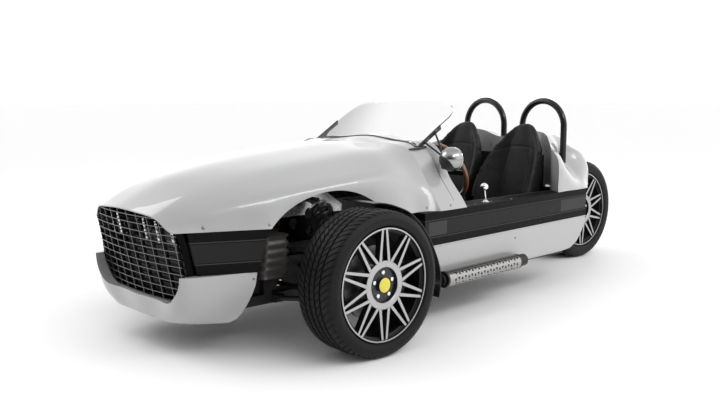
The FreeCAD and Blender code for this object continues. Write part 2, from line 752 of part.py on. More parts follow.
def cockpit_side(sign):
    """One wide cockpit side, drawn in towards the tail: the black band above and the white sill below it."""
    tag = "left" if sign > 0 else "right"
    start, end = "sizes.side_front_x", "sizes.side_rear_x"
    block = side_slab("band_block_" + tag, sign, "sizes.band_bottom_z",
                      "sizes.side_top_z - sizes.band_bottom_z - sizes.seam",
                      [(start, INNER_Y), (start, "sizes.side_half_width"), (end, "sizes.side_rear_half"),
                       (end, INNER_Y)])
    grooves = []
    for number, share in enumerate(("0.27", "0.73")):
        z = "sizes.band_bottom_z + (sizes.side_top_z - sizes.band_bottom_z) * " + share
        grooves.append(side_slab("groove_%s_%d" % (tag, number), sign, z, "sizes.groove",
                                 [(start, "sizes.side_half_width - sizes.groove_depth"),
                                  (start, "sizes.side_half_width + 5"), (end, "sizes.side_rear_half + 5"),
                                  (end, "sizes.side_rear_half - sizes.groove_depth")]))
    band = cut("band_" + tag, block, fuse("grooves_" + tag, grooves))

    sill = new_body("sill_body_" + tag)
    side = sketch(sill, "XZ_Plane", "sill_side_" + tag)
    high = "sizes.band_bottom_z - sizes.seam"
    rise = "sizes.sill_bottom_z + sizes.sill_round * "
    corner = FRONT + " + sizes.side_rear_x + sizes.sill_round * "
    outline(side, [(FRONT + " + sizes.side_front_x", high), (FRONT + " + sizes.side_front_x", "sizes.sill_bottom_z"),
                   (corner + "1.4", "sizes.sill_bottom_z"), (corner + "0.88", rise + "0.06"),
                   (corner + "0.5", rise + "0.24"), (corner + "0.24", rise + "0.5"),
                   (corner + "0.08", rise + "0.74"), (FRONT + " + sizes.side_rear_x", high)])
    slab = pad(sill, side, "sizes.side_half_width - %s" % INNER_Y, "sill_pad_" + tag, turned=sign > 0)
    wedge = sketch(sill, "XY_Plane", "sill_plan_" + tag)
    outline(wedge, [(FRONT + " + " + start, "%d * (sizes.side_half_width - %s)" % (sign, INNER_Y)),
                    (FRONT + " + " + start, "%d * sizes.side_half_width" % sign),
                    (FRONT + " + " + end + " - 5", "%d * sizes.side_half_width" % sign),
                    (FRONT + " + " + end + " - 5", "%d * (sizes.side_rear_half - %s)" % (sign, INNER_Y))])
    taper = sill.newObject("PartDesign::Pocket", "sill_taper_" + tag)
    taper.Profile = wedge
    bind(taper, Length="2 * sizes.side_top_z")
    taper.Midplane = True
    doc.recompute()
    low_edges = []
    for number, edge in enumerate(taper.Shape.Edges, start=1):
        spot = edge.CenterOfMass
        across = size("side_half_width") - (size("side_front_x") + front - spot.x) * side_taper
        level = abs(spot.z - size("sill_bottom_z")) < 0.01
        if level and abs(abs(spot.y) - across + size("well_half_width") + size("wall")) < 0.5 and edge.Length > 200:
            low_edges.append("Edge%d" % number)
    rounding = sill.newObject("PartDesign::Fillet", "sill_round_" + tag)
    rounding.Base = (taper, low_edges)
    bind(rounding, Radius="sizes.sill_edge")
    sill.setExpression("Placement.Base.y", "%d * %s" % (sign, INNER_Y))
    return band, sill


bands, sills = zip(cockpit_side(1), cockpit_side(-1))
keep(group("side_band_pair", list(bands)), "side_bands")
keep(group("sill_pair", list(sills)), "sills")

# Cockpit tub: floor, both inner walls, firewall and rear bulkhead, open at the top.
tub_x = FRONT + " + sizes.bulkhead_x"
tub_length = "sizes.firewall_x - sizes.bulkhead_x"
tub_outer = box("tub_outer", (tub_x, "-sizes.well_half_width - sizes.wall + sizes.fit", "sizes.floor_z"),
                (tub_length, "2 * (sizes.well_half_width + sizes.wall - sizes.fit)",
                 "sizes.side_top_z - sizes.floor_z"))
tub_hollow = box("tub_hollow", (tub_x + " + sizes.wall", "-sizes.well_half_width",
                                "sizes.floor_z + sizes.wall"),
                 (tub_length + " - 2 * sizes.wall", "2 * sizes.well_half_width", "sizes.side_top_z"))
back_panel = box("tub_back", (tub_x, "-sizes.back_panel_half", "sizes.side_top_z - 1"),
                 ("sizes.wall", "2 * sizes.back_panel_half", "sizes.back_panel_z - sizes.side_top_z + 1"))
keep(fuse("tub", [cut("tub_shell", tub_outer, tub_hollow), back_panel]), "cockpit_tub")


def dashboard():
    """Dash panel across the cockpit, shaped to the cowl's inside."""
    x = size("cowl_rear_x") + 50
    half = bonnet_section(x)
    gap = size("skin") + 1.5
    inner = [(y - gap, z - gap * 0.8) for y, z in half[:-1]] + [(0.0, half[-1][1] - gap)]
    panel = Part.Face(solid_wire(front + x, inner)).extrude(Vector(-size("dash_thickness"), 0, 0))
    low = Part.makeBox(200, 2 * side_y, size("dash_bottom_z") - 400,
                       Vector(front + x - 100, -side_y, 400))
    return panel.cut(low)


def windscreen_curve(share):
    """An arc across the windscreen, from its base at 0 to its top edge at 1."""
    base = Vector(size("screen_base_x"), 0, size("screen_base_z"))
    top = Vector(size("screen_top_x"), 0, size("screen_top_z"))
    middle = base + (top - base) * share
    half = size("screen_half_width") + 40
    back = 48 * (1 - share) + 8 * share
    drop = size("screen_side_drop") + 6 * share
    ends = [Vector(front + middle.x + back, side * half, middle.z - drop) for side in (-1, 1)]
    return Part.Arc(ends[0], Vector(front + middle.x, 0, middle.z), ends[1]).toShape()


def windscreen():
    """Low curved windscreen: a ruled sheet with rounded upper corners."""
    surface = Part.makeRuledSurface(windscreen_curve(-0.1), windscreen_curve(1.0))
    sheet_solid = surface.extrude(Vector(0, 0, -size("screen_thickness") * 1.2))
    half = size("screen_half_width")
    turn = size("screen_corner")
    low_x = front + size("screen_base_x") + 90
    top_x = front + size("screen_top_x") + 2
    corner_x_line = top_x + turn * 0.9
    middle = Vector(top_x + turn * 0.27, half - turn * 0.3, 0)
    edges = [Part.makeLine(Vector(low_x, -half, 0), Vector(low_x, half, 0)),
             Part.makeLine(Vector(low_x, half, 0), Vector(corner_x_line, half, 0)),
             Part.Arc(Vector(corner_x_line, half, 0), middle, Vector(top_x, half - turn, 0)).toShape(),
             Part.makeLine(Vector(top_x, half - turn, 0), Vector(top_x, -half + turn, 0)),
             Part.Arc(Vector(top_x, -half + turn, 0), Vector(middle.x, -middle.y, 0),
                      Vector(corner_x_line, -half, 0)).toShape(),
             Part.makeLine(Vector(corner_x_line, -half, 0), Vector(low_x, -half, 0))]
    column = Part.Face(Part.Wire(edges)).extrude(Vector(0, 0, 1400))
    return sheet_solid.common(column).cut(cowl_trim)


cowl_trim = body_solid([-560, -640, -710, size("cowl_rear_x"), -830], size("fit"))
keep(feature("windscreen_sheet", windscreen()), "windscreen")


def screen_bracket():
    """Black strip that carries the windscreen's left edge, with the mirror's two rods."""
    half = size("screen_half_width")
    y = half + size("fit")
    thick = size("bracket_thickness")
    tall = size("bracket_height")
    low_x, low_z = size("screen_base_x") + 34, size("screen_base_z") - size("screen_side_drop") + 4
    high_x, high_z = low_x - 160, low_z + 96
    strip = side_prism([(low_x, low_z - tall * 0.6), (low_x + 8, low_z + 2), (high_x, high_z + tall * 0.4),
                        (high_x - 6, high_z - tall * 0.5)], y, y + thick)
    foot = Part.makeBox(60, 30, 16, Vector(front + low_x - 30, y, low_z - tall * 0.6 - 14))
    pieces = [strip, foot]
    head = Vector(front + size("mirror_x"), size("mirror_y"), size("mirror_z"))
    for share in (0.25, 0.75):
        start = Vector(front + low_x + (high_x - low_x) * share, y + thick * 0.5,
                       low_z + (high_z - low_z) * share)
        end = head + Vector(8 - 16 * share, -size("mirror_radius") * 0.9, 10)
        run = end - start
        pieces.append(Part.makeCylinder(size("mirror_rod"), run.Length, start, run))
    trimmed = pieces[0].multiFuse(pieces[1:]).cut(cowl_trim)
    return max(trimmed.Solids, key=lambda solid: solid.Volume)


def mirror_head():
    """Bullet mirror: a domed shell turned round a level axis, glass to the rear."""
    across = size("mirror_radius")
    middle = Vector(front + size("mirror_x"), size("mirror_y"), size("mirror_z"))
    ball = Part.makeSphere(across, middle)
    back = Part.makeBox(across, 2 * across, 2 * across,
                        middle - Vector(across * 1.35, across, across))
    return ball.cut(back)


head_left = mirror_head()
bracket_left = feature("bracket_left", screen_bracket().cut(Part.makeSphere(
    size("mirror_radius") + size("fit"), Vector(front + size("mirror_x"), size("mirror_y"), size("mirror_z")))))
head_left_piece = feature("mirror_left_head", head_left)
keep(group("bracket_pair", [bracket_left, mirrored("bracket_right", bracket_left)]), "windscreen_brackets")
keep(group("mirror_pair", [head_left_piece, mirrored("mirror_right_head", head_left_piece)]), "mirrors")


# Tail: a deck that rises in two head fairings behind the seats. Its sides stand upright
# beside the cockpit and lean in at the roll hoops' outer legs.
deck_front = size("deck_front_x")
deck_rear = size("deck_rear_x")
fair_y = size("fairing_y")
fair_z = size("fairing_top_z")
deck_z = size("deck_edge_z")
rear_half = size("side_rear_half")
TAIL_EDGE = ((deck_front, rear_half + 27), (-1700, rear_half + 16), (size("side_rear_x"), rear_half),
             (-2040, rear_half - 48), (-2120, rear_half - 98), (-2180, rear_half - 142),
             (deck_rear, rear_half - 172))
TAIL_WALL = ((deck_front, rear_half + 26, deck_z + 130, 7), (-1640, rear_half + 20, deck_z + 142, 7),
             (-1700, rear_half + 12, deck_z + 142, 7), (-1786, rear_half - 14, deck_z + 105, 0),
             (-1868, rear_half - 42, deck_z + 80, -8), (-1951, rear_half - 76, deck_z + 70, -16),
             (-2040, rear_half - 80, deck_z + 84, -4), (-2120, rear_half - 101, deck_z + 96, 8),
             (deck_rear, rear_half - 168, deck_z + 86, 7))
TAIL_SHOULDER = ((deck_front, 530, fair_z - 128), (-1640, 530, fair_z - 124), (-1700, 505, fair_z - 110),
                 (-1786, 458, fair_z - 122), (-1868, 408, fair_z - 142), (-1951, 361, fair_z - 134),
                 (-2040, 380, fair_z - 112), (-2120, 388, fair_z - 130), (deck_rear, 330, fair_z - 176))
TAIL_CREASE = ((deck_front, 470, fair_z - 96), (-1700, 458, fair_z - 90), (-1786, 422, fair_z - 86),
               (-1868, 385, fair_z - 86), (-1951, 348, fair_z - 88), (-2040, 330, fair_z - 74),
               (-2120, 305, fair_z - 102), (deck_rear, 240, fair_z - 146))
TAIL_RIDGE = ((deck_front, fair_y + 8, fair_z - 30), (-1700, fair_y + 6, fair_z - 12), (-1867, fair_y, fair_z - 2),
              (-1951, fair_y - 4, fair_z - 8), (-2040, fair_y - 14, fair_z - 26), (-2120, fair_y - 36, fair_z - 58),
              (deck_rear, fair_y - 86, fair_z - 118))
TAIL_VALLEY = ((deck_front, fair_z - 80), (-1700, fair_z - 66), (-1867, fair_z - 48), (-1951, fair_z - 50),
               (-2040, fair_z - 60), (-2120, fair_z - 84), (deck_rear, fair_z - 132))


def tail_section(x):
    """Half of the tail's cross-section, from its lower edge over the fairing to the middle."""
    edge_y = along(TAIL_EDGE, x)[0]
    wall_y, wall_z, bulge = along(TAIL_WALL, x)
    shoulder_y, shoulder_z = along(TAIL_SHOULDER, x)
    crease_y, crease_z = along(TAIL_CREASE, x)
    ridge_y, ridge_z = along(TAIL_RIDGE, x)
    valley = along(TAIL_VALLEY, x)[0]
    side_high = crease_z + (ridge_z - crease_z) * 0.66
    return [(edge_y, deck_z), ((edge_y + wall_y) / 2 + 1, (deck_z + wall_z) / 2), (wall_y, wall_z),
            ((wall_y + shoulder_y) / 2 + bulge, (wall_z + shoulder_z) / 2 + 5), (shoulder_y, shoulder_z),
            (crease_y, crease_z), (crease_y - (crease_y - ridge_y) * 0.3, side_high), (ridge_y, ridge_z),
            (ridge_y * 0.5, valley + (ridge_z - valley) * 0.4), (0.0, valley)]


def well_prism(margin):
    """The cockpit opening in plan, rounded behind each seat."""
    points = [(deck_front + 100, 640 + margin), (-1610, 606 + margin), (-1641 - margin, 571), (-1662 - margin, 545),
              (-1700 - margin, 478), (-1764 - margin, 420), (-1830 - margin, 352), (-1870 - margin, 300),
              (-1888 - margin, fair_y), (-1884 - margin, 110), (-1880 - margin, 0)]
    points += [(x, -y) for x, y in reversed(points[:-1])]
    curve = Part.BSplineCurve()
    curve.interpolate([Vector(front + x, y, 300) for x, y in points])
    close = Part.makeLine(Vector(front + points[-1][0], points[-1][1], 300),
                          Vector(front + points[0][0], points[0][1], 300))
    return Part.Face(Part.Wire([curve.toShape(), close])).extrude(Vector(0, 0, 900))


def rear_deck():
    """The tail's thin shell, closed by a wall along the cockpit opening and at the back."""
    stations = [deck_front, -1600, -1650, -1700, -1786, -1868, -1910, -1951, -1995, -2040, -2080, -2120, -2160,
                -2195, deck_rear]
    thick = size("skin")
    outside = []
    inside = []
    for x in stations:
        half = tail_section(x)
        shrunk = [(y - thick, z - thick * 0.9) for y, z in half[:-1]] + [(0.0, half[-1][1] - thick)]
        if x == deck_rear:
            half = [(y - 14, z - 10) for y, z in half[:-1]] + [(0.0, half[-1][1] - 10)]
            half[0] = (half[0][0], deck_z)
        outside.append(solid_wire(front + x, half))
        shrunk[0] = (shrunk[0][0], deck_z - 2)
        inside.append(solid_wire(front + x + (thick if x == deck_rear else 0), shrunk))
    outside = Part.makeLoft(outside, True, False)
    inside = Part.makeLoft(inside, True, False)
    shell = outside.cut(inside.cut(well_prism(thick)))
    return shell.cut(well_prism(0))


deck = rear_deck()
legs = []
for side in (-1, 1):
    for leg in (-1, 1):
        y = side * size("hoop_y") + leg * size("hoop_half_span")
        legs.append(Part.makeCylinder(size("hoop_tube") + size("fit"), 700,
                                      Vector(front + size("hoop_x"), y, size("hoop_foot_z") - 20), ALONG_Z))
deck = deck.cut(legs[0].multiFuse(legs[1:]))
keep(feature("deck_shell", deck), "rear_deck")


def hoop(sign):
    """A roll hoop: round tube over one seat, both legs down to the cross beam."""
    made = new_body("hoop_body_%s" % ("left" if sign > 0 else "right"))
    path = sketch(made, "YZ_Plane", "hoop_path")
    radius = size("hoop_half_span")
    top = size("hoop_top_z") - size("hoop_tube") - radius
    middle = sign * size("hoop_y")
    foot = size("hoop_foot_z")
    path.addGeometry(Part.LineSegment(Vector(middle + radius, foot, 0), Vector(middle + radius, top, 0)), False)
    arc = Part.ArcOfCircle(Part.Circle(Vector(middle, top, 0), ALONG_Z, radius), 0, math.pi)
    path.addGeometry(arc, False)
    path.addGeometry(Part.LineSegment(Vector(middle - radius, top, 0), Vector(middle - radius, foot, 0)), False)
    path.addConstraint(Sketcher.Constraint("Tangent", 0, 2, 1, 1))
    path.addConstraint(Sketcher.Constraint("Tangent", 1, 2, 2, 1))
    rules = (("DistanceX", 1, 3, middle, "%d * sizes.hoop_y" % sign),
             ("DistanceY", 1, 3, top, "sizes.hoop_top_z - sizes.hoop_tube - sizes.hoop_half_span"),
             ("DistanceY", 0, 1, foot, "sizes.hoop_foot_z"), ("DistanceY", 2, 2, foot, "sizes.hoop_foot_z"))
    for kind, line, end, amount, rule in rules:
        number = path.addConstraint(Sketcher.Constraint(kind, -1, 1, line, end, amount))
        path.setExpression("Constraints[%d]" % number, rule)
    number = path.addConstraint(Sketcher.Constraint("Radius", 1, radius))
    path.setExpression("Constraints[%d]" % number, "sizes.hoop_half_span")
    section = made.newObject("Sketcher::SketchObject", "hoop_section")
    section.AttachmentSupport = [(plane(made, "XY_Plane"), "")]
    section.MapMode = "FlatFace"
    section.setExpression("AttachmentOffset.Base.z", "sizes.hoop_foot_z")
    circle(section, "0", "%d * sizes.hoop_y + sizes.hoop_half_span" % sign, "sizes.hoop_tube")
    pipe = made.newObject("PartDesign::AdditivePipe", "hoop_pipe")
    pipe.Profile = section
    pipe.Spine = path
    made.setExpression("Placement.Base.x", FRONT + " + sizes.hoop_x")
    return made


keep(group("hoop_pair", [hoop(1), hoop(-1)]), "roll_hoops")


def hollow_section(spot, across, out, half, wing, thickness):
    """A shallow dished section: raised wings at both sides, even thickness, closed."""
    front_run = [across * (-half) + out * wing, across * (-half * 0.72) + out * wing * 0.22, Vector(0, 0, 0),
                 across * (half * 0.72) + out * wing * 0.22, across * half + out * wing]
    rear_run = [across * (-half - 3) + out * (wing - thickness * 0.5),
                across * (-half * 0.86) + out * (wing * 0.2 - thickness), out * (-thickness),
                across * (half * 0.86) + out * (wing * 0.2 - thickness),
                across * (half + 3) + out * (wing - thickness * 0.5)]
    curves = []
    for run in (front_run, rear_run):
        curve = Part.BSplineCurve()
        curve.interpolate([spot + p for p in run])
        curves.append(curve.toShape())
    ends = [Part.makeLine(spot + front_run[k], spot + rear_run[k]) for k in (0, -1)]
    return Part.Wire([curves[0], ends[1], curves[1], ends[0]])


def seat(sign):
    """High-backed bucket seat: a dished base and a back that narrows to a rounded point."""
    half = size("seat_half_width")
    thick = size("seat_shell")
    base_x, base_z = size("seat_base_x"), size("seat_base_z")
    top_x, top_z = size("seat_top_x"), size("seat_top_z")
    middle = sign * size("seat_y")
    hip_x = top_x + 100
    base = []
    for x, z, wide, wing in ((base_x, base_z + 34, half - 16, 14), (base_x - 60, base_z + 44, half - 6, 34),
                             (base_x - 200, base_z + 18, half, 52), (hip_x + 120, base_z - 4, half + 2, 104),
                             (hip_x - 10, base_z + 8, half + 2, 140)):
        base.append(hollow_section(Vector(front + x, middle, z), ALONG_Y, ALONG_Z, wide, wing, thick))
    back = []
    for x, z, wide, wing in ((hip_x + 14, base_z - 50, half - 6, 40), (hip_x, base_z + 120, half, 52),
                             (hip_x - 24, base_z + 280, half + 4, 56), (top_x + 52, top_z - 240, half - 6, 48),
                             (top_x + 26, top_z - 138, half - 46, 30), (top_x + 10, top_z - 62, half - 92, 16),
                             (top_x + 4, top_z - 24, half - 114, 10), (top_x + 1, top_z - 6, half - 140, 6),
                             (top_x, top_z, half - 168, 4)):
        back.append(hollow_section(Vector(front + x, middle, z), ALONG_Y, ALONG_X, wide, wing, thick * 0.9))
    floor = size("floor_z") + size("wall") + size("fit")
    runners = [Part.makeBox(300, 30, base_z - thick + 10 - floor,
                            Vector(front + base_x - 400, middle + side * 120 - 15, floor)) for side in (-1, 1)]
    whole = Part.makeLoft(base, True, False).multiFuse([Part.makeLoft(back, True, False)] + runners)
    return feature("seat_form_" + ("left" if sign > 0 else "right"), whole)


keep(group("seat_pair", [seat(1), seat(-1)]), "seats")


def steering_frame(spot):
    """Placement whose Z axis runs along the steering column, towards the driver."""
    tilt = math.radians(size("wheel_tilt"))
    axis = Vector(-math.cos(tilt), 0, math.sin(tilt))
    return Placement(spot, Rotation(ALONG_Z, axis)), axis


hub_spot = Vector(front + size("wheel_x"), size("wheel_y"), size("wheel_z"))
wheel_frame, column_axis = steering_frame(hub_spot)
ring = doc.addObject("Part::Torus", "wheel_ring")
bind(ring, Radius1="sizes.wheel_rim_radius - sizes.wheel_rim_tube", Radius2="sizes.wheel_rim_tube")
ring.Placement = wheel_frame
keep(ring, "steering_wheel_rim")


def wheel_spokes():
    """Boss and three flat spokes that end at the inside of the wooden rim."""
    boss = Part.makeCylinder(38, 44, Vector(0, 0, -42), ALONG_Z)
    reach = size("wheel_rim_radius") - size("wheel_rim_tube")
    pieces = [boss]
    for angle in (90, 210, 330):
        bar = Part.makeBox(reach, 30, 5, Vector(0, -15, -2.5))
        bar.rotate(Vector(0, 0, 0), ALONG_Z, angle)
        pieces.append(bar)
    spokes = pieces[0].multiFuse(pieces[1:])
    torus = Part.makeTorus(reach, size("wheel_rim_tube") + size("fit"))
    spokes = spokes.cut(torus).removeSplitter()
    spokes.Placement = wheel_frame
    return spokes


keep(feature("wheel_spider", wheel_spokes()), "steering_wheel_spokes")

column_start = hub_spot - column_axis * 42.5
column_reach = ((column_start.x - front - size("firewall_x") + size("wall") + size("fit")) / column_axis.x
                - size("column_radius") * math.tan(math.radians(size("wheel_tilt"))))
column_end = column_start - column_axis * column_reach
keep(rod("column_tube", column_end, column_start, "sizes.column_radius"), "steering_column")

hanger_x = front + size("cowl_rear_x") + 50
hanger = Part.makeBox(size("dash_thickness"), 70, 100,
                      Vector(hanger_x - size("dash_thickness"), size("wheel_y") - 35, size("dash_bottom_z") - 90))
column_hole = Part.makeCylinder(size("column_radius") + size("fit"), column_reach, column_end, column_axis)
dash = dashboard().fuse(hanger).cut(column_hole)
keep(feature("dash_panel", dash), "dashboard")

# Gear lever at the driver's left: a thin stem with a ball.
lever_foot = Vector(front + size("shifter_x") - 12, size("shifter_y"), size("side_top_z") + 3)
lever_top = Vector(front + size("shifter_x"), size("shifter_y"), size("shifter_top_z"))
stem = rod("lever_stem", lever_foot, lever_top, "sizes.rack_radius * 0.45")
ball = doc.addObject("Part::Sphere", "lever_ball")
bind(ball, Radius="sizes.shifter_ball")
place(ball, FRONT + " + sizes.shifter_x", "sizes.shifter_y", "sizes.shifter_top_z")
boot = doc.addObject("Part::Cone", "lever_boot")
bind(boot, Radius1="sizes.shifter_ball", Radius2="sizes.rack_radius * 0.6", Height="sizes.shifter_ball / 2")
place(boot, FRONT + " + sizes.shifter_x - 12", "sizes.shifter_y", "sizes.side_top_z - sizes.seam + 0.2")
keep(fuse("lever", [stem, ball, boot]), "gear_lever")


# Wheels. Each is drawn about its own axle, which runs along Y, outside face towards +Y.

def tyre(name, x_rule, y_rule, radius_alias, width_alias, rim_alias, node):
    """A tyre: a solid ring with a rounded tread and sidewalls that reach in to the rim's seats."""
    made = new_body(name)
    profile = sketch(made, "YZ_Plane", name + "_profile")
    across = "sizes.%s" % radius_alias
    half = "sizes.%s / 2" % width_alias
    seat_radius = "sizes.barrel_radius + sizes.fit"
    bead = "(sizes.%s / 2 - sizes.rim_lip - sizes.fit)" % rim_alias
    side = [(bead, seat_radius), (bead + " + 3", "sizes.rim_radius + sizes.fit"),
            (bead + " + 6", "sizes.rim_radius + 3"), ("(%s) - 2" % half, "sizes.rim_radius + 14"),
            (half, "(sizes.rim_radius + %s) / 2" % across), ("(%s) - 7" % half, across + " - 17"),
            ("(%s) - 26" % half, across + " - 3.5"), ("(%s) * 0.4" % half, across)]
    points = side + [("-(%s)" % y, z) for y, z in reversed(side)]
    outline(profile, points)
    revolve(made, profile, "H_Axis")
    place(made, x_rule, y_rule, across)
    keep(made, node)


def rim(name, x_rule, y_rule, z_alias, width_alias, node, sign):
    """A cast wheel: barrel with lips, ten pairs of spokes, hub ring with a recess, lugs and a cap."""
    made = new_body(name)
    half = "sizes.%s / 2" % width_alias
    barrel = sketch(made, "YZ_Plane", name + "_barrel")
    inner = "sizes.barrel_radius - sizes.barrel_wall"
    outline(barrel, [("-(%s)" % half, inner), ("-(%s)" % half, "sizes.rim_radius"),
                     ("-(%s) + sizes.rim_lip - 3" % half, "sizes.rim_radius"),
                     ("-(%s) + sizes.rim_lip" % half, "sizes.barrel_radius"),
                     ("%s - sizes.rim_lip" % half, "sizes.barrel_radius"),
                     ("%s - sizes.rim_lip + 3" % half, "sizes.rim_radius"), (half, "sizes.rim_radius"),
                     (half, inner)])
    revolve(made, barrel, "H_Axis")
    hub = sketch(made, "YZ_Plane", name + "_hub")
    face = "%s - sizes.hub_inset" % half
    back = "%s - sizes.hub_thickness" % face
    outline(hub, [(back, "0"), (back, "sizes.hub_ring_radius * 0.8"), (face + " - 20", "sizes.hub_ring_radius"),
                  (face, "sizes.hub_ring_radius"), (face, "sizes.hub_recess_radius"),
                  (face + " - sizes.hub_recess_depth", "sizes.hub_recess_radius"),
                  (face + " - sizes.hub_recess_depth", "sizes.cap_radius"), (face + " + 2", "sizes.cap_radius"),
                  (face + " + 7", "sizes.cap_radius * 0.7"), (face + " + 8", "0")])
    revolve(made, hub, "H_Axis")
    spoke = sketch(made, "XZ_Plane", name + "_spoke")
    for side in (1, -1):
        wide = "sizes.spoke_width"
        root = "(sizes.hub_ring_radius - 8)"
        tip = "(%s + 4)" % inner
        points = []
        for reach, turn, share in ((root, "sizes.spoke_spread", "0.62"), (tip, "sizes.spoke_pinch", "0.5")):
            for edge in ((-1, 1) if reach == root else (1, -1)):
                points.append(("%s * sin(%d deg * %s) + %d * %s * %s" % (reach, side, turn, edge, wide, share),
                               "%s * cos(%d deg * %s)" % (reach, side, turn)))
        outline(spoke, points)
    spoke.setExpression("AttachmentOffset.Base.z", "-(%s)" % face)
    arm = pad(made, spoke, "sizes.spoke_depth", name + "_spokes")
    pattern = made.newObject("PartDesign::PolarPattern", name + "_round")
    pattern.Originals = [arm]
    pattern.Axis = (plane(made, "Y_Axis"), [""])
    pattern.Angle = 360
    bind(pattern, Occurrences="sizes.spoke_pairs")
    made.Tip = pattern
    lug = sketch(made, "XZ_Plane", name + "_lug")
    circle(lug, "0", "sizes.lug_circle", "sizes.lug_radius")
    lug.setExpression("AttachmentOffset.Base.z", "-(%s - sizes.hub_recess_depth)" % face)
    nut = pad(made, lug, "sizes.hub_recess_depth * 0.8", name + "_lugs", turned=True)
    made.Tip = nut
    nuts = made.newObject("PartDesign::PolarPattern", name + "_nuts")
    nuts.Originals = [nut]
    nuts.Axis = (plane(made, "Y_Axis"), [""])
    nuts.Angle = 360
    nuts.Occurrences = 5
    made.Tip = nuts
    if sign < 0:
        made.Placement = Placement(Vector(0, 0, 0), Rotation(ALONG_Z, 180))
    place(made, x_rule, y_rule, "sizes.%s" % z_alias)
    keep(made, node)


def disc(name, x_rule, y_rule, z_alias, width_alias, node, sign, spindle_end, offset_rule):
    """Brake disc with its hat and the spindle that turns in the bearing housing."""
    made = new_body(name)
    profile = sketch(made, "YZ_Plane", name + "_profile")
    seat_face = "sizes.%s / 2 - sizes.hub_inset - sizes.hub_thickness - sizes.fit" % width_alias
    inboard = "%s - %s" % (seat_face, offset_rule)
    outline(profile, [(spindle_end, "0"), (spindle_end, "sizes.spindle_radius"),
                      (inboard + " + 6", "sizes.spindle_radius"), (inboard + " + 6", "sizes.disc_hat_radius - 8"),
                      (inboard, "sizes.disc_hat_radius - 4"), (inboard, "sizes.disc_radius"),
                      (inboard + " + sizes.disc_thickness", "sizes.disc_radius"),
                      (inboard + " + sizes.disc_thickness", "sizes.disc_hat_radius + 6"),
                      (seat_face, "sizes.disc_hat_radius"), (seat_face, "0")])
    revolve(made, profile, "H_Axis")
    if sign < 0:
        made.Placement = Placement(Vector(0, 0, 0), Rotation(ALONG_Z, 180))
    place(made, x_rule, y_rule, "sizes.%s" % z_alias)
    keep(made, node)


SPINDLE_END = "sizes.kingpin_y + 8 - sizes.front_wheel_y"
for sign, tag in ((1, "left"), (-1, "right")):
    across = "%d * sizes.front_wheel_y" % sign
    tyre("tyre_body_" + tag, FRONT, across, "front_tyre_radius", "front_tyre_width",
         "front_rim_width", "front_tyre_" + tag)
    rim("rim_body_" + tag, FRONT, across, "front_tyre_radius", "front_rim_width", "front_rim_" + tag, sign)
    disc("disc_body_" + tag, FRONT, across, "front_tyre_radius", "front_rim_width",
         "front_disc_" + tag, sign, SPINDLE_END, "sizes.disc_offset")
tyre("tyre_body_rear", REAR, "0", "rear_tyre_radius", "rear_tyre_width", "rear_rim_width", "rear_tyre")
rim("rim_body_rear", REAR, "0", "rear_tyre_radius", "rear_rim_width", "rear_rim", 1)
REAR_SPINDLE = "sizes.arm_y - sizes.arm_thickness / 2 + 6"
disc("disc_body_rear", REAR, "0", "rear_tyre_radius", "rear_rim_width", "rear_disc", 1, REAR_SPINDLE,
     "sizes.rear_disc_offset")


def caliper_block(middle, inboard, outboard, angle):
    """A caliper bridging the disc, as a piece of a ring with a slot for the disc."""
    outer = size("disc_radius") + size("caliper_reach") - 4
    inner = size("disc_radius") - size("caliper_depth")
    ring_solid = Part.makeCylinder(outer, outboard - inboard, Vector(0, inboard, 0), ALONG_Y).cut(
        Part.makeCylinder(inner, outboard - inboard + 2, Vector(0, inboard - 1, 0), ALONG_Y))
    half = math.radians(size("caliper_angle") / 2)
    reach = outer * 1.6
    wedge = [Vector(0, inboard - 1, 0), Vector(reach * math.cos(half), inboard - 1, reach * math.sin(half)),
             Vector(reach * math.cos(half), inboard - 1, -reach * math.sin(half)), Vector(0, inboard - 1, 0)]
    piece = ring_solid.common(Part.Face(Part.makePolygon(wedge)).extrude(Vector(0, outboard - inboard + 2, 0)))
    slot_low = middle - 5.5
    slot = Part.makeCylinder(size("disc_radius") + 5.5, size("disc_thickness") + 11,
                             Vector(0, slot_low, 0), ALONG_Y)
    piece = piece.cut(slot)
    piece.rotate(Vector(0, 0, 0), ALONG_Y, angle)
    return piece


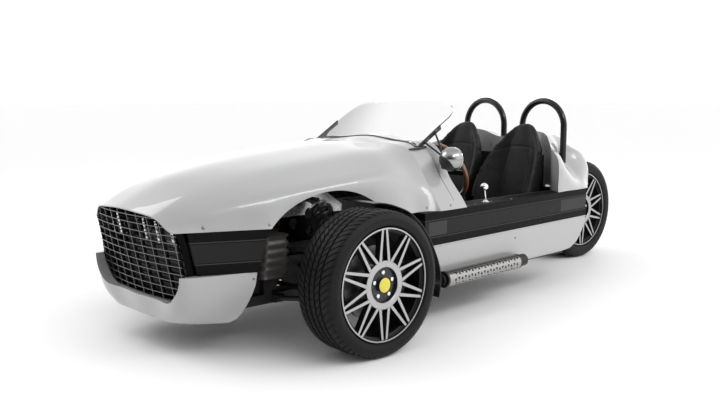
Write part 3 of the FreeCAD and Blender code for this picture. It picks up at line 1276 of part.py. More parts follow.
def knuckle():
    """Left steering knuckle: upright between the two ball joints, bearing housing, arm and caliper."""
    axle_z = size("front_tyre_radius")
    pin_y = size("kingpin_y")
    low_z, high_z = size("lower_joint_z"), size("upper_joint_z")
    centre = Vector(front, pin_y, 0)
    seat_face = (size("front_wheel_y") + size("front_rim_width") / 2 - size("hub_inset")
                 - size("hub_thickness") - size("fit"))
    disc_face = seat_face - size("disc_offset")
    housing_end = disc_face - 5.5
    housing_start = pin_y - 16
    column = Part.makeCylinder(size("kingpin_radius"), high_z - low_z - size("joint_height"),
                               centre + Vector(0, 0, low_z + size("joint_height") / 2), ALONG_Z)
    housing = Part.makeCylinder(size("knuckle_ring_radius"), housing_end - housing_start,
                                Vector(front, housing_start, axle_z), ALONG_Y)
    arm_z = size("rack_z") + size("rod_end_height") / 2 + 0.6
    thick = size("steer_arm_thickness")
    tip = Vector(front + size("steer_arm_x"), size("steer_arm_y"), arm_z)
    eye = Part.makeCylinder(size("rod_end_radius"), thick, tip, ALONG_Z)
    root = Vector(front, pin_y, arm_z)
    run = tip - root
    side = Vector(-run.y, run.x, 0).normalize() * 14
    corners = [root + side * 1.5, tip + side, tip - side, root - side * 1.5, root + side * 1.5]
    arm = Part.Face(Part.makePolygon(corners)).extrude(Vector(0, 0, thick))
    whole = column.multiFuse([housing, eye, arm])
    mount = Part.makeBox(120, 16, 44, Vector(front - 140, housing_end - 18, axle_z - 22))
    whole = whole.fuse(mount)
    bore = Part.makeCylinder(size("spindle_radius") + size("fit"), housing_end - housing_start + 2,
                             Vector(front, housing_start - 1, axle_z), ALONG_Y)
    whole = whole.cut(bore)
    block = caliper_block(disc_face - size("front_wheel_y"), housing_end - 18 - size("front_wheel_y"),
                          disc_face + size("disc_thickness") + 22 - size("front_wheel_y"), 180)
    block.translate(Vector(front, size("front_wheel_y"), axle_z))
    return whole.fuse(block).removeSplitter()


knuckle_left = feature("knuckle_left_form", knuckle())
keep(knuckle_left, "knuckle_left")
keep(mirrored("knuckle_right_form", knuckle_left), "knuckle_right")

# Steering rack with its two tie rods: one bar that slides across the car.
rack_x = front + size("steer_arm_x")
rack_reach = size("steer_arm_y")
bar = rod("rack_bar", Vector(rack_x, -rack_reach, size("rack_z")), Vector(rack_x, rack_reach, size("rack_z")),
          "sizes.rack_radius")
eyes = []
for sign in (1, -1):
    eye = doc.addObject("Part::Cylinder", "rod_end_%d" % (sign + 1))
    bind(eye, Radius="sizes.rod_end_radius", Height="sizes.rod_end_height")
    place(eye, FRONT + " + sizes.steer_arm_x", "%d * sizes.steer_arm_y" % sign,
          "sizes.rack_z - sizes.rod_end_height / 2")
    eyes.append(eye)
keep(fuse("rack", [bar] + eyes), "steering_rack")
housing_half = size("rack_housing_length") / 2
housing = rod("rack_housing_tube", Vector(rack_x, -housing_half, size("rack_z")),
              Vector(rack_x, housing_half, size("rack_z")), "sizes.rack_housing_radius")
bore = rod("rack_housing_bore", Vector(rack_x, -housing_half - 5, size("rack_z")),
           Vector(rack_x, housing_half + 5, size("rack_z")), "sizes.rack_radius + sizes.fit")


def front_frame():
    """Welded frame that carries the front arms, the rack and the radiator."""
    side = size("rail_size")
    y = size("rail_y")
    start = size("firewall_x") + size("fit")
    end = size("radiator_x") - size("radiator_depth") - size("fit")
    low_z, high_z = size("lower_rail_z"), size("upper_rail_z")
    pieces = []
    for sign in (1, -1):
        low_y = sign * y - side / 2
        for z in (low_z, high_z):
            pieces.append(Part.makeBox(end - start, side, side, Vector(front + start, low_y, z - side / 2)))
        for x in (-230.0, 190.0, end - side):
            pieces.append(Part.makeBox(side, side, high_z - low_z, Vector(front + x, low_y, low_z)))
    for x, z in ((-230.0, low_z), (190.0, low_z), (end - side, low_z), (end - side, high_z)):
        pieces.append(Part.makeBox(side, 2 * y, side, Vector(front + x, -y, z - side / 2)))
    return pieces[0].multiFuse(pieces[1:]).removeSplitter()


front_tubes = feature("frame_tubes", front_frame())
rack_clamps = []
for sign in (1, -1):
    x = FRONT + " + sizes.steer_arm_x - 12"
    low_y = "%d * sizes.rack_housing_length * 0.35 - 12" % sign
    rack_clamps.append(box("rack_clamp_%d" % (sign + 1), (x, low_y, "sizes.lower_rail_z - sizes.rail_size / 2"),
                           ("190 - sizes.steer_arm_x + 12 - sizes.fit", "24",
                            "sizes.rack_z - sizes.lower_rail_z + sizes.rail_size / 2")))
rack_carrier = cut("rack_tube", fuse("rack_clamp_set", [housing] + rack_clamps), bore)


mount_y = size("rail_y") + size("rail_size") / 2 + size("bush_radius") + size("fit")
PAN_Y = size("kingpin_y") - 108


def arm_height(joint_z, mount_z, y):
    """Height of a wishbone's tube axis at a distance from the car's middle."""
    return mount_z + (joint_z - mount_z) * (y - mount_y) / (size("kingpin_y") - mount_y)


def wishbone(joint_z, spread, mount_z, pan):
    """A wishbone: two tubes from the outer ball joint to two bushes on the frame."""
    joint = Vector(front, size("kingpin_y"), joint_z)
    radius = size("arm_tube_radius")
    height = size("joint_height") - 2 * size("fit")
    boss = Part.makeCylinder(size("joint_radius"), height, joint - Vector(0, 0, height / 2), ALONG_Z)
    pieces = [boss]
    for side in (-1, 1):
        mount = Vector(front + side * spread, mount_y, mount_z)
        run = joint - mount
        pieces.append(Part.makeCylinder(radius, run.Length - 6, mount, run))
        length = size("bush_length")
        pieces.append(Part.makeCylinder(size("bush_radius"), length, mount - Vector(length / 2, 0, 0), ALONG_X))
    if pan:
        half = spread * (size("kingpin_y") - PAN_Y) / (size("kingpin_y") - mount_y)
        z = arm_height(joint_z, mount_z, PAN_Y)
        pieces.append(Part.makeBox(2 * half, 50, 12, Vector(front - half, PAN_Y - 25, z - 6)))
    return pieces[0].multiFuse(pieces[1:]).removeSplitter()


arms = []
for label, joint_z, spread, mount_z in (
        ("upper", size("upper_joint_z"), size("upper_arm_spread"), size("upper_rail_z")),
        ("lower", size("lower_joint_z"), size("lower_arm_spread"), size("lower_rail_z"))):
    left = feature(label + "_arm_left", wishbone(joint_z, spread, mount_z, label == "upper"))
    arms += [left, mirrored(label + "_arm_right", left)]
keep(group("arm_set", arms), "front_arms")


def spring_unit(low, high, damper, radius, wire, turns):
    """A damper with its spring round it, turned from one profile whose teeth are the coils."""
    length = (high - low).Length
    start, end = length * 0.2, length * 0.86
    points = [Vector(0, 0, 0), Vector(damper, 0, 0), Vector(damper, 0, start), Vector(radius, 0, start),
              Vector(radius, 0, start + 6)]
    pitch = (end - start - 12) / turns
    for i in range(turns):
        z = start + 6 + pitch * i
        points += [Vector(radius - wire, 0, z), Vector(radius - wire, 0, z + pitch * 0.3),
                   Vector(radius, 0, z + pitch * 0.5), Vector(radius, 0, z + pitch * 0.8)]
    points += [Vector(radius - wire, 0, end - 6), Vector(radius, 0, end - 6), Vector(radius, 0, end),
               Vector(damper * 0.6, 0, end), Vector(damper * 0.6, 0, length), Vector(0, 0, length)]
    made = Part.Face(Part.makePolygon(points + points[:1])).revolve(Vector(0, 0, 0), ALONG_Z, 360)
    made.Placement = Placement(low, Rotation(ALONG_Z, high - low))
    return made


def coilover():
    """Spring and damper from the upper arm's pan to the bracket above the frame."""
    eye = 15.0
    pan_z = arm_height(size("upper_joint_z"), size("upper_rail_z"), PAN_Y) + 6 + size("fit")
    low = Vector(front, PAN_Y, pan_z + eye)
    plate_y = size("rail_y") + 50 + size("fit")
    high = Vector(front, plate_y + size("spring_radius") + 8, size("coil_top_z"))
    unit = spring_unit(low, high, 14, size("spring_radius"), size("spring_wire"), 6)
    foot = Part.makeCylinder(eye, 44, low - Vector(22, 0, 0), ALONG_X)
    pin = Part.makeCylinder(11, high.y - plate_y, Vector(front, plate_y, high.z - 2), ALONG_Y)
    head = Part.makeCylinder(17, 40, high - Vector(0, 20, 2), ALONG_Y)
    return unit.multiFuse([foot, pin, head])


coil_left = feature("coilover_left", coilover())
coil_right = mirrored("coilover_right", coil_left)

# Polished brackets above the front frame, each a plate with a row of round holes.


def arch_bracket():
    plate_low = size("upper_rail_z") + size("rail_size") / 2 + size("fit")
    y = size("rail_y") + 40
    corners = [(-190, plate_low), (-210, plate_low + 150), (-120, plate_low + 212), (60, plate_low + 212),
               (150, plate_low + 130), (170, plate_low)]
    plate = side_prism(corners, y, y + 10)
    holes = ((-112, plate_low + 120, 44), (-10, plate_low + 124, 26), (84, plate_low + 84, 24),
             (-10, plate_low + 44, 20))
    for x, z, radius in holes:
        plate = plate.cut(Part.makeCylinder(radius, 40, Vector(front + x, y - 10, z), ALONG_Y))
    foot = Part.makeBox(300, 40 + size("rail_size") / 2, 8,
                        Vector(front - 165, size("rail_y") - size("rail_size") / 2, plate_low))
    return plate.fuse(foot).removeSplitter()


bracket = feature("arch_bracket_left", arch_bracket())
keep(group("arch_bracket_pair", [bracket, mirrored("arch_bracket_right", bracket)]), "arch_brackets")

# Heavy mass and drive: one block for the engine with its gearbox, and two drive shafts.
engine_z = "sizes.lower_rail_z + sizes.rail_size / 2 + sizes.fit"
engine_block = box("engine_block", (FRONT + " + sizes.engine_x", "-sizes.engine_width / 2", engine_z),
                   ("sizes.engine_length", "sizes.engine_width", "sizes.engine_height"))
gearbox = box("gearbox_block", (FRONT + " + sizes.engine_x + sizes.engine_length - 1",
                                "-sizes.gearbox_width / 2", engine_z + " + 20"),
              ("sizes.gearbox_reach - sizes.engine_x - sizes.engine_length", "sizes.gearbox_width", "200"))
feet = [box("engine_foot_%d" % (sign + 1), (FRONT + " - 350", y_rule, engine_z),
            ("60", "sizes.rail_y - sizes.rail_size / 2 - sizes.fit - sizes.engine_width / 2 + 5", "40"))
        for sign, y_rule in ((1, "sizes.engine_width / 2 - 5"),
                             (-1, "-(sizes.rail_y - sizes.rail_size / 2 - sizes.fit)"))]
keep(fuse("engine_mass", [engine_block, gearbox] + feet), "engine")
shafts = []
for sign in (1, -1):
    axle_z = size("front_tyre_radius")
    inner_y, outer_y = size("gearbox_width") / 2 + size("fit"), size("kingpin_y") - 26
    shaft = rod("drive_shaft_%d" % (sign + 1), Vector(front, sign * inner_y, axle_z),
                Vector(front, sign * outer_y, axle_z), "sizes.drive_shaft_radius")
    inner_boot = rod("inner_boot_%d" % (sign + 1), Vector(front, sign * inner_y, axle_z),
                     Vector(front, sign * (inner_y + 80), axle_z), "sizes.drive_boot_radius")
    outer_boot = rod("outer_boot_%d" % (sign + 1), Vector(front, sign * (outer_y - 90), axle_z),
                     Vector(front, sign * (outer_y - 26), axle_z), "sizes.drive_boot_radius")
    shafts.append(fuse("drive_shaft_set_%d" % (sign + 1), [shaft, inner_boot, outer_boot]))
keep(group("drive_shaft_pair", shafts), "drive_shafts")


def mudguard():
    """Thin curved guard behind the left front tyre, its inner edge against the cockpit side."""
    thick = size("guard_thickness")
    back = size("side_front_x") + size("fit")
    curve_points = [(-30, 654), (-97, 650), (-183, 626), (-248, 599), (-304, 560), (-368, 491),
                    (-425, 395), (back + 6, 305), (back + 0.6, 240), (back + 14, 172)]
    curve = Part.BSplineCurve()
    curve.interpolate([Vector(front + x, size("guard_inner_y"), z) for x, z in curve_points])
    wire = Part.Wire([curve.toShape()])
    sheet_face = wire.extrude(Vector(0, size("guard_outer_y") - size("guard_inner_y"), 0))
    flank = body_solid(STATIONS, 4 * size("fit"))
    return sheet_face.makeOffsetShape(-thick, 0.01, fill=True).cut(flank)


guard = feature("mudguard_left_form", mudguard())
keep(group("mudguard_pair", [guard, mirrored("mudguard_right_form", guard)]), "mudguards")


exhaust_y = side_y + size("shield_radius") + size("exhaust_gap")


def along_side(shape):
    """Turns a piece that was drawn level with the car, so that it follows the tapered side."""
    turned = shape.copy()
    turned.rotate(Vector(front + size("side_front_x"), side_y, 0), ALONG_Z, math.degrees(math.atan(side_taper)))
    return turned


def exhaust_shield():
    """Perforated heat shield: a thin tube with rows of three-cornered louvre holes."""
    start, end = front + size("shield_rear_x"), front + size("shield_front_x")
    middle = Vector(start, exhaust_y, size("exhaust_z"))
    outer = size("shield_radius")
    tube = Part.makeCylinder(outer, end - start, middle, ALONG_X).cut(
        Part.makeCylinder(outer - size("shield_wall"), end - start + 2, middle - Vector(1, 0, 0), ALONG_X))
    pitch = size("hole_pitch")
    count = int((end - start - 30) / pitch)
    hole = size("hole_size")
    tools = []
    for row_number in range(int(size("hole_rows"))):
        angle = 38.0 - 38.0 * row_number
        for i in range(count):
            x = start + 18 + pitch * (i + 0.5 * (row_number % 2))
            flip = 1 if (i + row_number) % 2 else -1
            corners = [Vector(x, 0, -flip * hole * 0.45), Vector(x + hole, 0, -flip * hole * 0.45),
                       Vector(x + hole / 2, 0, flip * hole * 0.45)]
            prism = Part.Face(Part.makePolygon(corners + corners[:1])).extrude(Vector(0, outer + 10, 0))
            prism.rotate(Vector(0, 0, 0), ALONG_X, angle)
            prism.translate(Vector(0, middle.y, middle.z))
            tools.append(prism)
    return along_side(tube.cut(tools))


keep(feature("shield", exhaust_shield()), "exhaust_shield")


def exhaust_pipe():
    """Pipe inside the shield, its tip, two saddles under the sill and the elbow to the engine side."""
    y, z = exhaust_y, size("exhaust_z")
    radius, wall = size("pipe_radius"), size("pipe_wall")
    start, end = front + size("tip_x"), front + size("shield_front_x") + 30
    pieces = [Part.makeCylinder(radius, end - start, Vector(start, y, z), ALONG_X)]
    tip_end = front + size("shield_rear_x") - size("fit")
    pieces.append(Part.makeCylinder(size("shield_radius"), 14, Vector(tip_end - 14, y, z), ALONG_X))
    pieces.append(Part.makeCylinder(radius + 5, 50, Vector(start, y, z), ALONG_X))
    front_cap = front + size("shield_front_x") + size("fit")
    pieces.append(Part.makeCylinder(size("shield_radius"), 12, Vector(front_cap, y, z), ALONG_X))
    reach = y - side_y + 4
    for x in (tip_end - 14, front_cap):
        pieces.append(Part.makeBox(12, reach, 20, Vector(x, side_y + size("fit"), z - 4)))
    whole = pieces[0].multiFuse(pieces[1:])
    bore = Part.makeCylinder(radius - wall, 90, Vector(start - 1, y, z), ALONG_X)
    return along_side(whole.cut(bore).removeSplitter())


keep(feature("exhaust", exhaust_pipe()), "exhaust_pipe")


def rear_frame():
    """Frame behind the tub: cross beam under the hoops, two uprights and the swingarm's pivot tube."""
    start = size("bulkhead_x") - size("fit")
    end = size("pivot_x") - 26
    beam_z = size("hoop_foot_z")
    side = 40.0
    hoop_x = size("hoop_x")
    pieces = [Part.makeBox(start - hoop_x + side / 2, 40, side, Vector(front + hoop_x - side / 2, y, beam_z - side - 0.3))
              for y in (-420.0, -20.0, 380.0)]
    pieces.append(Part.makeBox(side, 840, side, Vector(front + hoop_x - side / 2, -420, beam_z - side - 0.3)))
    for y in (-150.0, 110.0):
        pieces.append(side_prism([(start, 160), (start, beam_z - side), (end + 4, beam_z - side), (end, 250)],
                                 y, y + side))
    pieces.append(Part.makeCylinder(size("pivot_radius"), 330, Vector(front + size("pivot_x"), -165, size("pivot_z")),
                                    ALONG_Y))
    return pieces[0].multiFuse(pieces[1:]).removeSplitter()


rear_tubes = feature("rear_frame_tubes", rear_frame())
keep(group("frame_set", [front_tubes, rack_carrier, rear_tubes]), "chassis_frame")


def swingarm():
    """Single-sided arm on the right, from the pivot to the rear wheel's bearing housing, with its caliper."""
    thick = size("arm_thickness")
    tall = size("arm_height")
    low_y = size("arm_y") - thick / 2
    pivot = Vector(size("pivot_x"), 0, size("pivot_z"))
    axle = Vector(-size("wheelbase"), 0, size("rear_tyre_radius"))
    corners = [(pivot.x + 20, pivot.z - tall * 0.42), (pivot.x + 20, pivot.z + tall * 0.42),
               (pivot.x - 170, pivot.z + tall * 0.8), (axle.x, axle.z + tall * 0.6),
               (axle.x, axle.z - tall * 0.6), (pivot.x - 170, pivot.z - tall * 0.25)]
    beam = side_prism(corners, low_y, low_y + thick)
    hub_end = Part.makeCylinder(tall * 0.6, thick, Vector(front + axle.x, low_y, axle.z), ALONG_Y)
    pivot_end = Part.makeCylinder(tall * 0.46, thick, Vector(front + pivot.x, low_y, pivot.z), ALONG_Y)
    disc_face = (size("rear_rim_width") / 2 - size("hub_inset") - size("hub_thickness") - size("fit")
                 - size("rear_disc_offset"))
    inner = low_y + thick - 4
    block = caliper_block(disc_face, inner, disc_face + size("disc_thickness") + 22, 8)
    block.translate(Vector(front + axle.x, 0, axle.z))
    whole = beam.multiFuse([hub_end, pivot_end, block])
    bore = Part.makeCylinder(size("spindle_radius") + size("fit"), thick + 20,
                             Vector(front + axle.x, low_y + 2, axle.z), ALONG_Y)
    whole = whole.cut(bore)
    pin = Part.makeCylinder(size("pivot_radius") + size("fit"), 60, Vector(front + pivot.x, -165.3, pivot.z), ALONG_Y)
    return whole.cut(pin).removeSplitter()


keep(feature("swingarm_casting", swingarm()), "swingarm")


def rear_shock():
    """Rear spring and damper between the swingarm and the cross beam."""
    eye = 14.0
    fall = 0.38 / 190 * size("arm_height")
    top_z = size("pivot_z") + size("arm_height") * 0.8 - 20 * fall
    low = Vector(front + size("pivot_x") - 150, size("arm_y"), top_z + (eye + size("fit")) * math.hypot(1, fall))
    high = Vector(front + size("hoop_x") - 10, size("arm_y"),
                  size("hoop_foot_z") - 40 - 2 * size("fit") - eye)
    unit = spring_unit(low, high, 11, 32, 9, 5)
    foot = Part.makeCylinder(eye, 36, low - Vector(0, 18, 0), ALONG_Y)
    head = Part.makeCylinder(eye, 36, high - Vector(0, 18, 0), ALONG_Y)
    return unit.multiFuse([foot, head])


keep(group("coilover_set", [coil_left, coil_right, feature("rear_shock_form", rear_shock())]), "coilovers")

tail_bar = box("tail_bar", (FRONT + " + sizes.deck_rear_x - 12", "-sizes.lamp_bar_width / 2", "sizes.deck_edge_z + 122"),
               ("12 - sizes.fit", "sizes.lamp_bar_width", "sizes.lamp_bar_height"))
keep(tail_bar, "tail_lamp")

doc.recompute()
failed = [made.Label for made in doc.Objects if "Invalid" in made.State or "Error" in made.State]
failed += [made.Label for made in subparts
           if made.Shape.isNull() or not made.Shape.isValid() or made.Shape.Volume <= 0]
if failed:
    raise RuntimeError("these have no sound shape: " + ", ".join(failed))

os.makedirs("parts", exist_ok=True)
for made in subparts:
    made.Shape.exportStep("parts/%s.step" % made.Label)
    reach = made.Shape.BoundBox
    print("%-24s solids %d  x %.0f..%.0f  y %.0f..%.0f  z %.0f..%.0f" % (
        made.Label, len(made.Shape.Solids), reach.XMin, reach.XMax, reach.YMin, reach.YMax, reach.ZMin, reach.ZMax))
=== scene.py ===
"""Open three-wheeled car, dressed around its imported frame. Units are metres, +X to the nose."""
import functools
import json
import math

import bmesh
import bpy
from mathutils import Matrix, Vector
from mathutils.bvhtree import BVHTree


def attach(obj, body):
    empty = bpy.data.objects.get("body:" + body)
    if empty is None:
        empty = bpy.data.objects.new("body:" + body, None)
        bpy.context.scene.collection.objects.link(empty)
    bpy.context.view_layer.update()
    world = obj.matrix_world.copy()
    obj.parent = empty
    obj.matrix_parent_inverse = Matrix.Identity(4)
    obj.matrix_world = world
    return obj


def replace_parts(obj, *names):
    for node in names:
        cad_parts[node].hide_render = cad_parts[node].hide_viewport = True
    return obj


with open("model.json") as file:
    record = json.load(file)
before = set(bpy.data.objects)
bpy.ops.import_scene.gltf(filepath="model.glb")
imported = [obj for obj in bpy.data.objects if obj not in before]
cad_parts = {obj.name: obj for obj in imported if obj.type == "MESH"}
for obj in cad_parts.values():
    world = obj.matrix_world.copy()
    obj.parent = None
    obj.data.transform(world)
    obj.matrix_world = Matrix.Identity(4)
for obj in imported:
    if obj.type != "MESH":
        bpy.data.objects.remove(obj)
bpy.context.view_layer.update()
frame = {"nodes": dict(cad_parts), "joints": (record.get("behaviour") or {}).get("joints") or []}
nodes = frame["nodes"]
scene = bpy.context.scene

SIDES = ((1, "left"), (-1, "right"))
AHEAD, LEFTWARD, UPWARD = Vector((1, 0, 0)), Vector((0, 1, 0)), Vector((0, 0, 1))

# Where each body turns, as the frame gives it.
TURNS_AT = {joint["child"]: joint["pos_m"] for joint in frame["joints"] if "pos_m" in joint}
FRONT_AXLE = TURNS_AT["front_wheel_left"][0]
COCKPIT_HALF = 0.44


# Materials. Each one is a node network on the object's own coordinates.

MIX_FIRST, MIX_SECOND, MIX_RESULT = 6, 7, 2
NOISE_LOW, NOISE_HIGH = 0.3, 0.7


class Network:
    """The nodes of a material or of the surround, added one by one."""

    def __init__(self, owner):
        owner.use_nodes = True
        self.tree = owner.node_tree

    def add(self, kind, inputs=None, **values):
        """A new node, with plain values for some of its inputs."""
        node = self.tree.nodes.new(kind)
        for key, value in values.items():
            setattr(node, key, value)
        for socket, value in (inputs or {}).items():
            node.inputs[socket].default_value = value
        return node

    def link(self, start, end):
        self.tree.links.new(start, end)

    def math(self, kind, first, second):
        """An operation on two values, each a number or a socket."""
        node = self.add("ShaderNodeMath", operation=kind)
        for socket, value in zip(node.inputs, (first, second)):
            if isinstance(value, (int, float)):
                socket.default_value = value
            else:
                self.link(value, socket)
        return node.outputs[0]

    def ramp(self, factor, start, end, low, high, **values):
        """Runs from low to high while the factor runs from start to end."""
        inputs = {"From Min": start, "From Max": end, "To Min": low, "To Max": high}
        node = self.add("ShaderNodeMapRange", inputs, **values)
        self.link(factor, node.inputs["Value"])
        return node.outputs["Result"]


class Shader(Network):
    """A material with its nodes, built up step by step."""

    def __init__(self, name, colour, rough, metal=0.0):
        self.material = bpy.data.materials.new(name)
        super().__init__(self.material)
        self.main = self.tree.nodes["Principled BSDF"]
        self.set("Base Color", (*colour, 1.0))
        self.set("Roughness", rough)
        self.set("Metallic", metal)
        self.place = self.add("ShaderNodeTexCoord").outputs["Object"]
        self.axes = None
        self.bumps = None

    def set(self, socket, value):
        self.main.inputs[socket].default_value = value
        return self

    def noise(self, scale, detail=4.0, rough=0.55, stretch=None):
        node = self.add("ShaderNodeTexNoise", {"Scale": scale, "Detail": detail, "Roughness": rough})
        source = self.place
        if stretch:
            mapping = self.add("ShaderNodeMapping", {"Scale": stretch})
            self.link(source, mapping.inputs["Vector"])
            source = mapping.outputs["Vector"]
        self.link(source, node.inputs["Vector"])
        return node.outputs["Fac"]

    def spread(self, factor, low, high, socket):
        """Drives a socket between two values by a noise."""
        self.link(self.ramp(factor, NOISE_LOW, NOISE_HIGH, low, high), self.main.inputs[socket])
        return self

    def tint(self, factor, dark, light):
        """Colour between two tones by a factor."""
        tones = {MIX_FIRST: (*dark, 1.0), MIX_SECOND: (*light, 1.0)}
        node = self.add("ShaderNodeMix", tones, data_type="RGBA")
        self.link(factor, node.inputs["Factor"])
        self.link(node.outputs[MIX_RESULT], self.main.inputs["Base Color"])
        return self

    def paint_over(self, factor, colour):
        """Lays another colour over the base colour, where the factor is one."""
        node = self.add("ShaderNodeMix", {MIX_SECOND: (*colour, 1.0)}, data_type="RGBA")
        base = self.main.inputs["Base Color"]
        if base.links:
            self.link(base.links[0].from_socket, node.inputs[MIX_FIRST])
        else:
            node.inputs[MIX_FIRST].default_value = base.default_value
        self.link(factor, node.inputs["Factor"])
        self.link(node.outputs[MIX_RESULT], base)
        return self

    def bump(self, height, strength, distance):
        """Adds relief on top of the relief that is there."""
        node = self.add("ShaderNodeBump", {"Strength": strength, "Distance": distance})
        self.link(height, node.inputs["Height"])
        if self.bumps:
            self.link(self.bumps, node.inputs["Normal"])
        self.bumps = node.outputs["Normal"]
        self.link(self.bumps, self.main.inputs["Normal"])
        return self

    def axis(self, which):
        """One of the object's own coordinates."""
        if self.axes is None:
            node = self.add("ShaderNodeSeparateXYZ")
            self.link(self.place, node.inputs[0])
            self.axes = dict(zip("XYZ", node.outputs))
        return self.axes[which]

    def between(self, which, low, high):
        """One where a coordinate lies between two values, and zero elsewhere."""
        spot = self.axis(which)
        past = self.math("GREATER_THAN", spot, low)
        return self.math("MULTIPLY", past, self.math("LESS_THAN", spot, high))


def grey(tone, blue=None):
    """A neutral colour, with its blue a little apart where that is given."""
    return (tone, tone, tone if blue is None else blue)


def scaled(colour, share):
    return tuple(part * share for part in colour)


def paint():
    made = Shader("pearl_paint", grey(0.355, 0.36), 0.3)
    made.tint(made.noise(900.0, 2.0), grey(0.335, 0.34), grey(0.375, 0.38))
    made.bump(made.noise(3.0, 1.0), 0.03, 0.002)
    return made.set("Coat Weight", 1.0).set("Coat Roughness", 0.02)


BAND_GROOVE = 0.003
LIGHT_LINE = BAND_GROOVE * 1.6
GROOVE_SHARES = (0.27, 0.73)
SIDE_BAND_Z = (0.391, 0.556)
NOSE_BAND_Z = (0.3744, 0.5556)
SIDE_BLOCKS = ((0.432, 0.569), (-0.885, -0.612))


def striped(name, low, high, blocks):
    """Satin black band with a grey middle strip, two grooves and two thin light lines."""
    made = Shader(name, grey(0.004, 0.0045), 0.5)
    made.spread(made.noise(40.0), 0.45, 0.55, "Roughness")
    made.bump(made.noise(700.0, 2.0), 0.05, 0.0004)
    groove_low, groove_high = (low + (high - low) * share for share in GROOVE_SHARES)
    made.paint_over(made.between("Z", groove_low + BAND_GROOVE, groove_high), grey(0.019, 0.0195))
    for start, end in blocks:
        patch = made.math("MULTIPLY", made.between("X", start, end),
                          made.between("Z", groove_low + BAND_GROOVE * 2, groove_high - BAND_GROOVE))
        made.paint_over(patch, grey(0.045, 0.046))
    for start in (groove_low - LIGHT_LINE, groove_high + BAND_GROOVE):
        made.paint_over(made.between("Z", start, start + LIGHT_LINE), grey(0.04, 0.041))
    for start in (groove_low, groove_high):
        made.paint_over(made.between("Z", start, start + BAND_GROOVE), grey(0.004))
    return made.set("Specular IOR Level", 0.08)


def gloss_black(name, rough=0.18, tone=0.010):
    made = Shader(name, grey(tone, tone * 1.1), rough)
    made.spread(made.noise(25.0), rough * 0.8, rough * 1.3, "Roughness")
    made.bump(made.noise(90.0, 2.0), 0.02, 0.0003)
    return made.set("Coat Weight", 0.25).set("Coat Roughness", 0.05).set("Specular IOR Level", 0.3)


def plastic(name, tone=0.02, rough=0.5, grain=600.0, warm=1.0):
    """Grained plastic or satin paint; warm above one moves its colour from blue towards red."""
    made = Shader(name, (tone * warm, tone, tone * 1.05 / warm), rough)
    made.tint(made.noise(12.0, 5.0), (tone * 0.75 * warm, tone * 0.75, tone * 0.8 / warm),
              (tone * 1.3 * warm, tone * 1.3, tone * 1.35 / warm))
    made.spread(made.noise(30.0), rough * 0.85, rough * 1.15, "Roughness")
    return made.bump(made.noise(grain, 3.0), 0.18, 0.0006)


def metal(name, colour, rough, grain=(1.0, 1.0, 40.0), scale=60.0, depth=0.06):
    """Brushed or polished metal; grain stretches its streaks and depth is their relief."""
    made = Shader(name, colour, rough, 1.0)
    streaks = made.noise(scale, 5.0, stretch=grain)
    made.spread(streaks, rough * 0.75, rough * 1.3, "Roughness")
    made.tint(made.noise(14.0, 3.0), scaled(colour, 0.9), scaled(colour, 1.08))
    return made.bump(streaks, depth, 0.0003)


def cast(name, tone, rough=0.55):
    made = Shader(name, grey(tone), rough, 0.7)
    made.spread(made.noise(50.0), rough * 0.8, rough * 1.2, "Roughness")
    made.tint(made.noise(20.0, 5.0), grey(tone * 0.7), grey(tone * 1.25))
    return made.bump(made.noise(350.0, 5.0), 0.35, 0.001)


def rubber():
    tone, rough = 0.007, 0.5
    made = Shader("tyre_rubber", grey(tone), rough)
    dust = made.noise(9.0, 6.0)
    made.tint(dust, grey(tone * 0.8), grey(tone * 1.35, tone * 1.3))
    made.spread(dust, rough * 0.85, rough * 1.15, "Roughness")
    made.set("Specular IOR Level", 0.16)
    return made.bump(made.noise(500.0, 3.0), 0.12, 0.0005)


def grille_bars():
    """Grey bars in a black frame."""
    bars_half = 0.354
    made = metal("grille_grey", grey(0.17, 0.175), 0.3)
    outer = made.math("SUBTRACT", 1.0, made.between("Y", -bars_half, bars_half))
    return made.paint_over(outer, grey(0.006))


def tub():
    """Black liner with body colour on the returns that stand above the bands."""
    band_top, above = 0.562, 1.2
    made = plastic("tub_liner", 0.02, 0.6, 420.0)
    outer = made.math("SUBTRACT", 1.0, made.between("Y", -COCKPIT_HALF, COCKPIT_HALF))
    returns = made.math("MULTIPLY", outer, made.between("Z", band_top, above))
    return made.paint_over(returns, grey(0.36, 0.365))


def bracket():
    """Polished alloy at the top of the plate, coloured near black below a set height."""
    # Height below which the plate is coloured near black.
    near_black_top = 0.565
    made = metal("bracket_alloy", grey(0.78, 0.79), 0.25)
    return made.paint_over(made.math("LESS_THAN", made.axis("Z"), near_black_top), grey(0.012))


def glass():
    """Clear towards the near side; elsewhere its colour is painted greyer, a painted reflection of the dim
    part of the room.
    """
    made = Shader("screen_glass", (0.97, 0.98, 0.985), 0.015)
    made.set("Transmission Weight", 1.0).set("IOR", 1.14)
    slant = made.math("ADD", made.axis("Y"), made.math("MULTIPLY", made.axis("Z"), 0.9))
    # Painted reflection: along this slant the glass colour fades from grey to clear.
    painted_grey = made.ramp(slant, 0.42, 0.90, 0.55, 0.985, interpolation_type="SMOOTHSTEP")
    tone = made.add("ShaderNodeCombineColor")
    for socket in tone.inputs[:3]:
        made.link(painted_grey, socket)
    made.link(tone.outputs[0], made.main.inputs["Base Color"])
    return made.bump(made.noise(1.5, 1.0), 0.008, 0.001)


def shield():
    """Polished sheet that mirrors a pale room above, with a painted reflection of the dark gap under the
    body: a dark band across it.
    """
    # Painted reflection: the band between these heights is coloured dark, standing for the gap under the
    # body seen in the sheet.
    dark_reflection_low, dark_reflection_high = 0.258, 0.282
    made = metal("shield_chrome", (0.36, 0.355, 0.35), 0.16, depth=0.01)
    return made.paint_over(made.between("Z", dark_reflection_low, dark_reflection_high), (0.09, 0.088, 0.085))


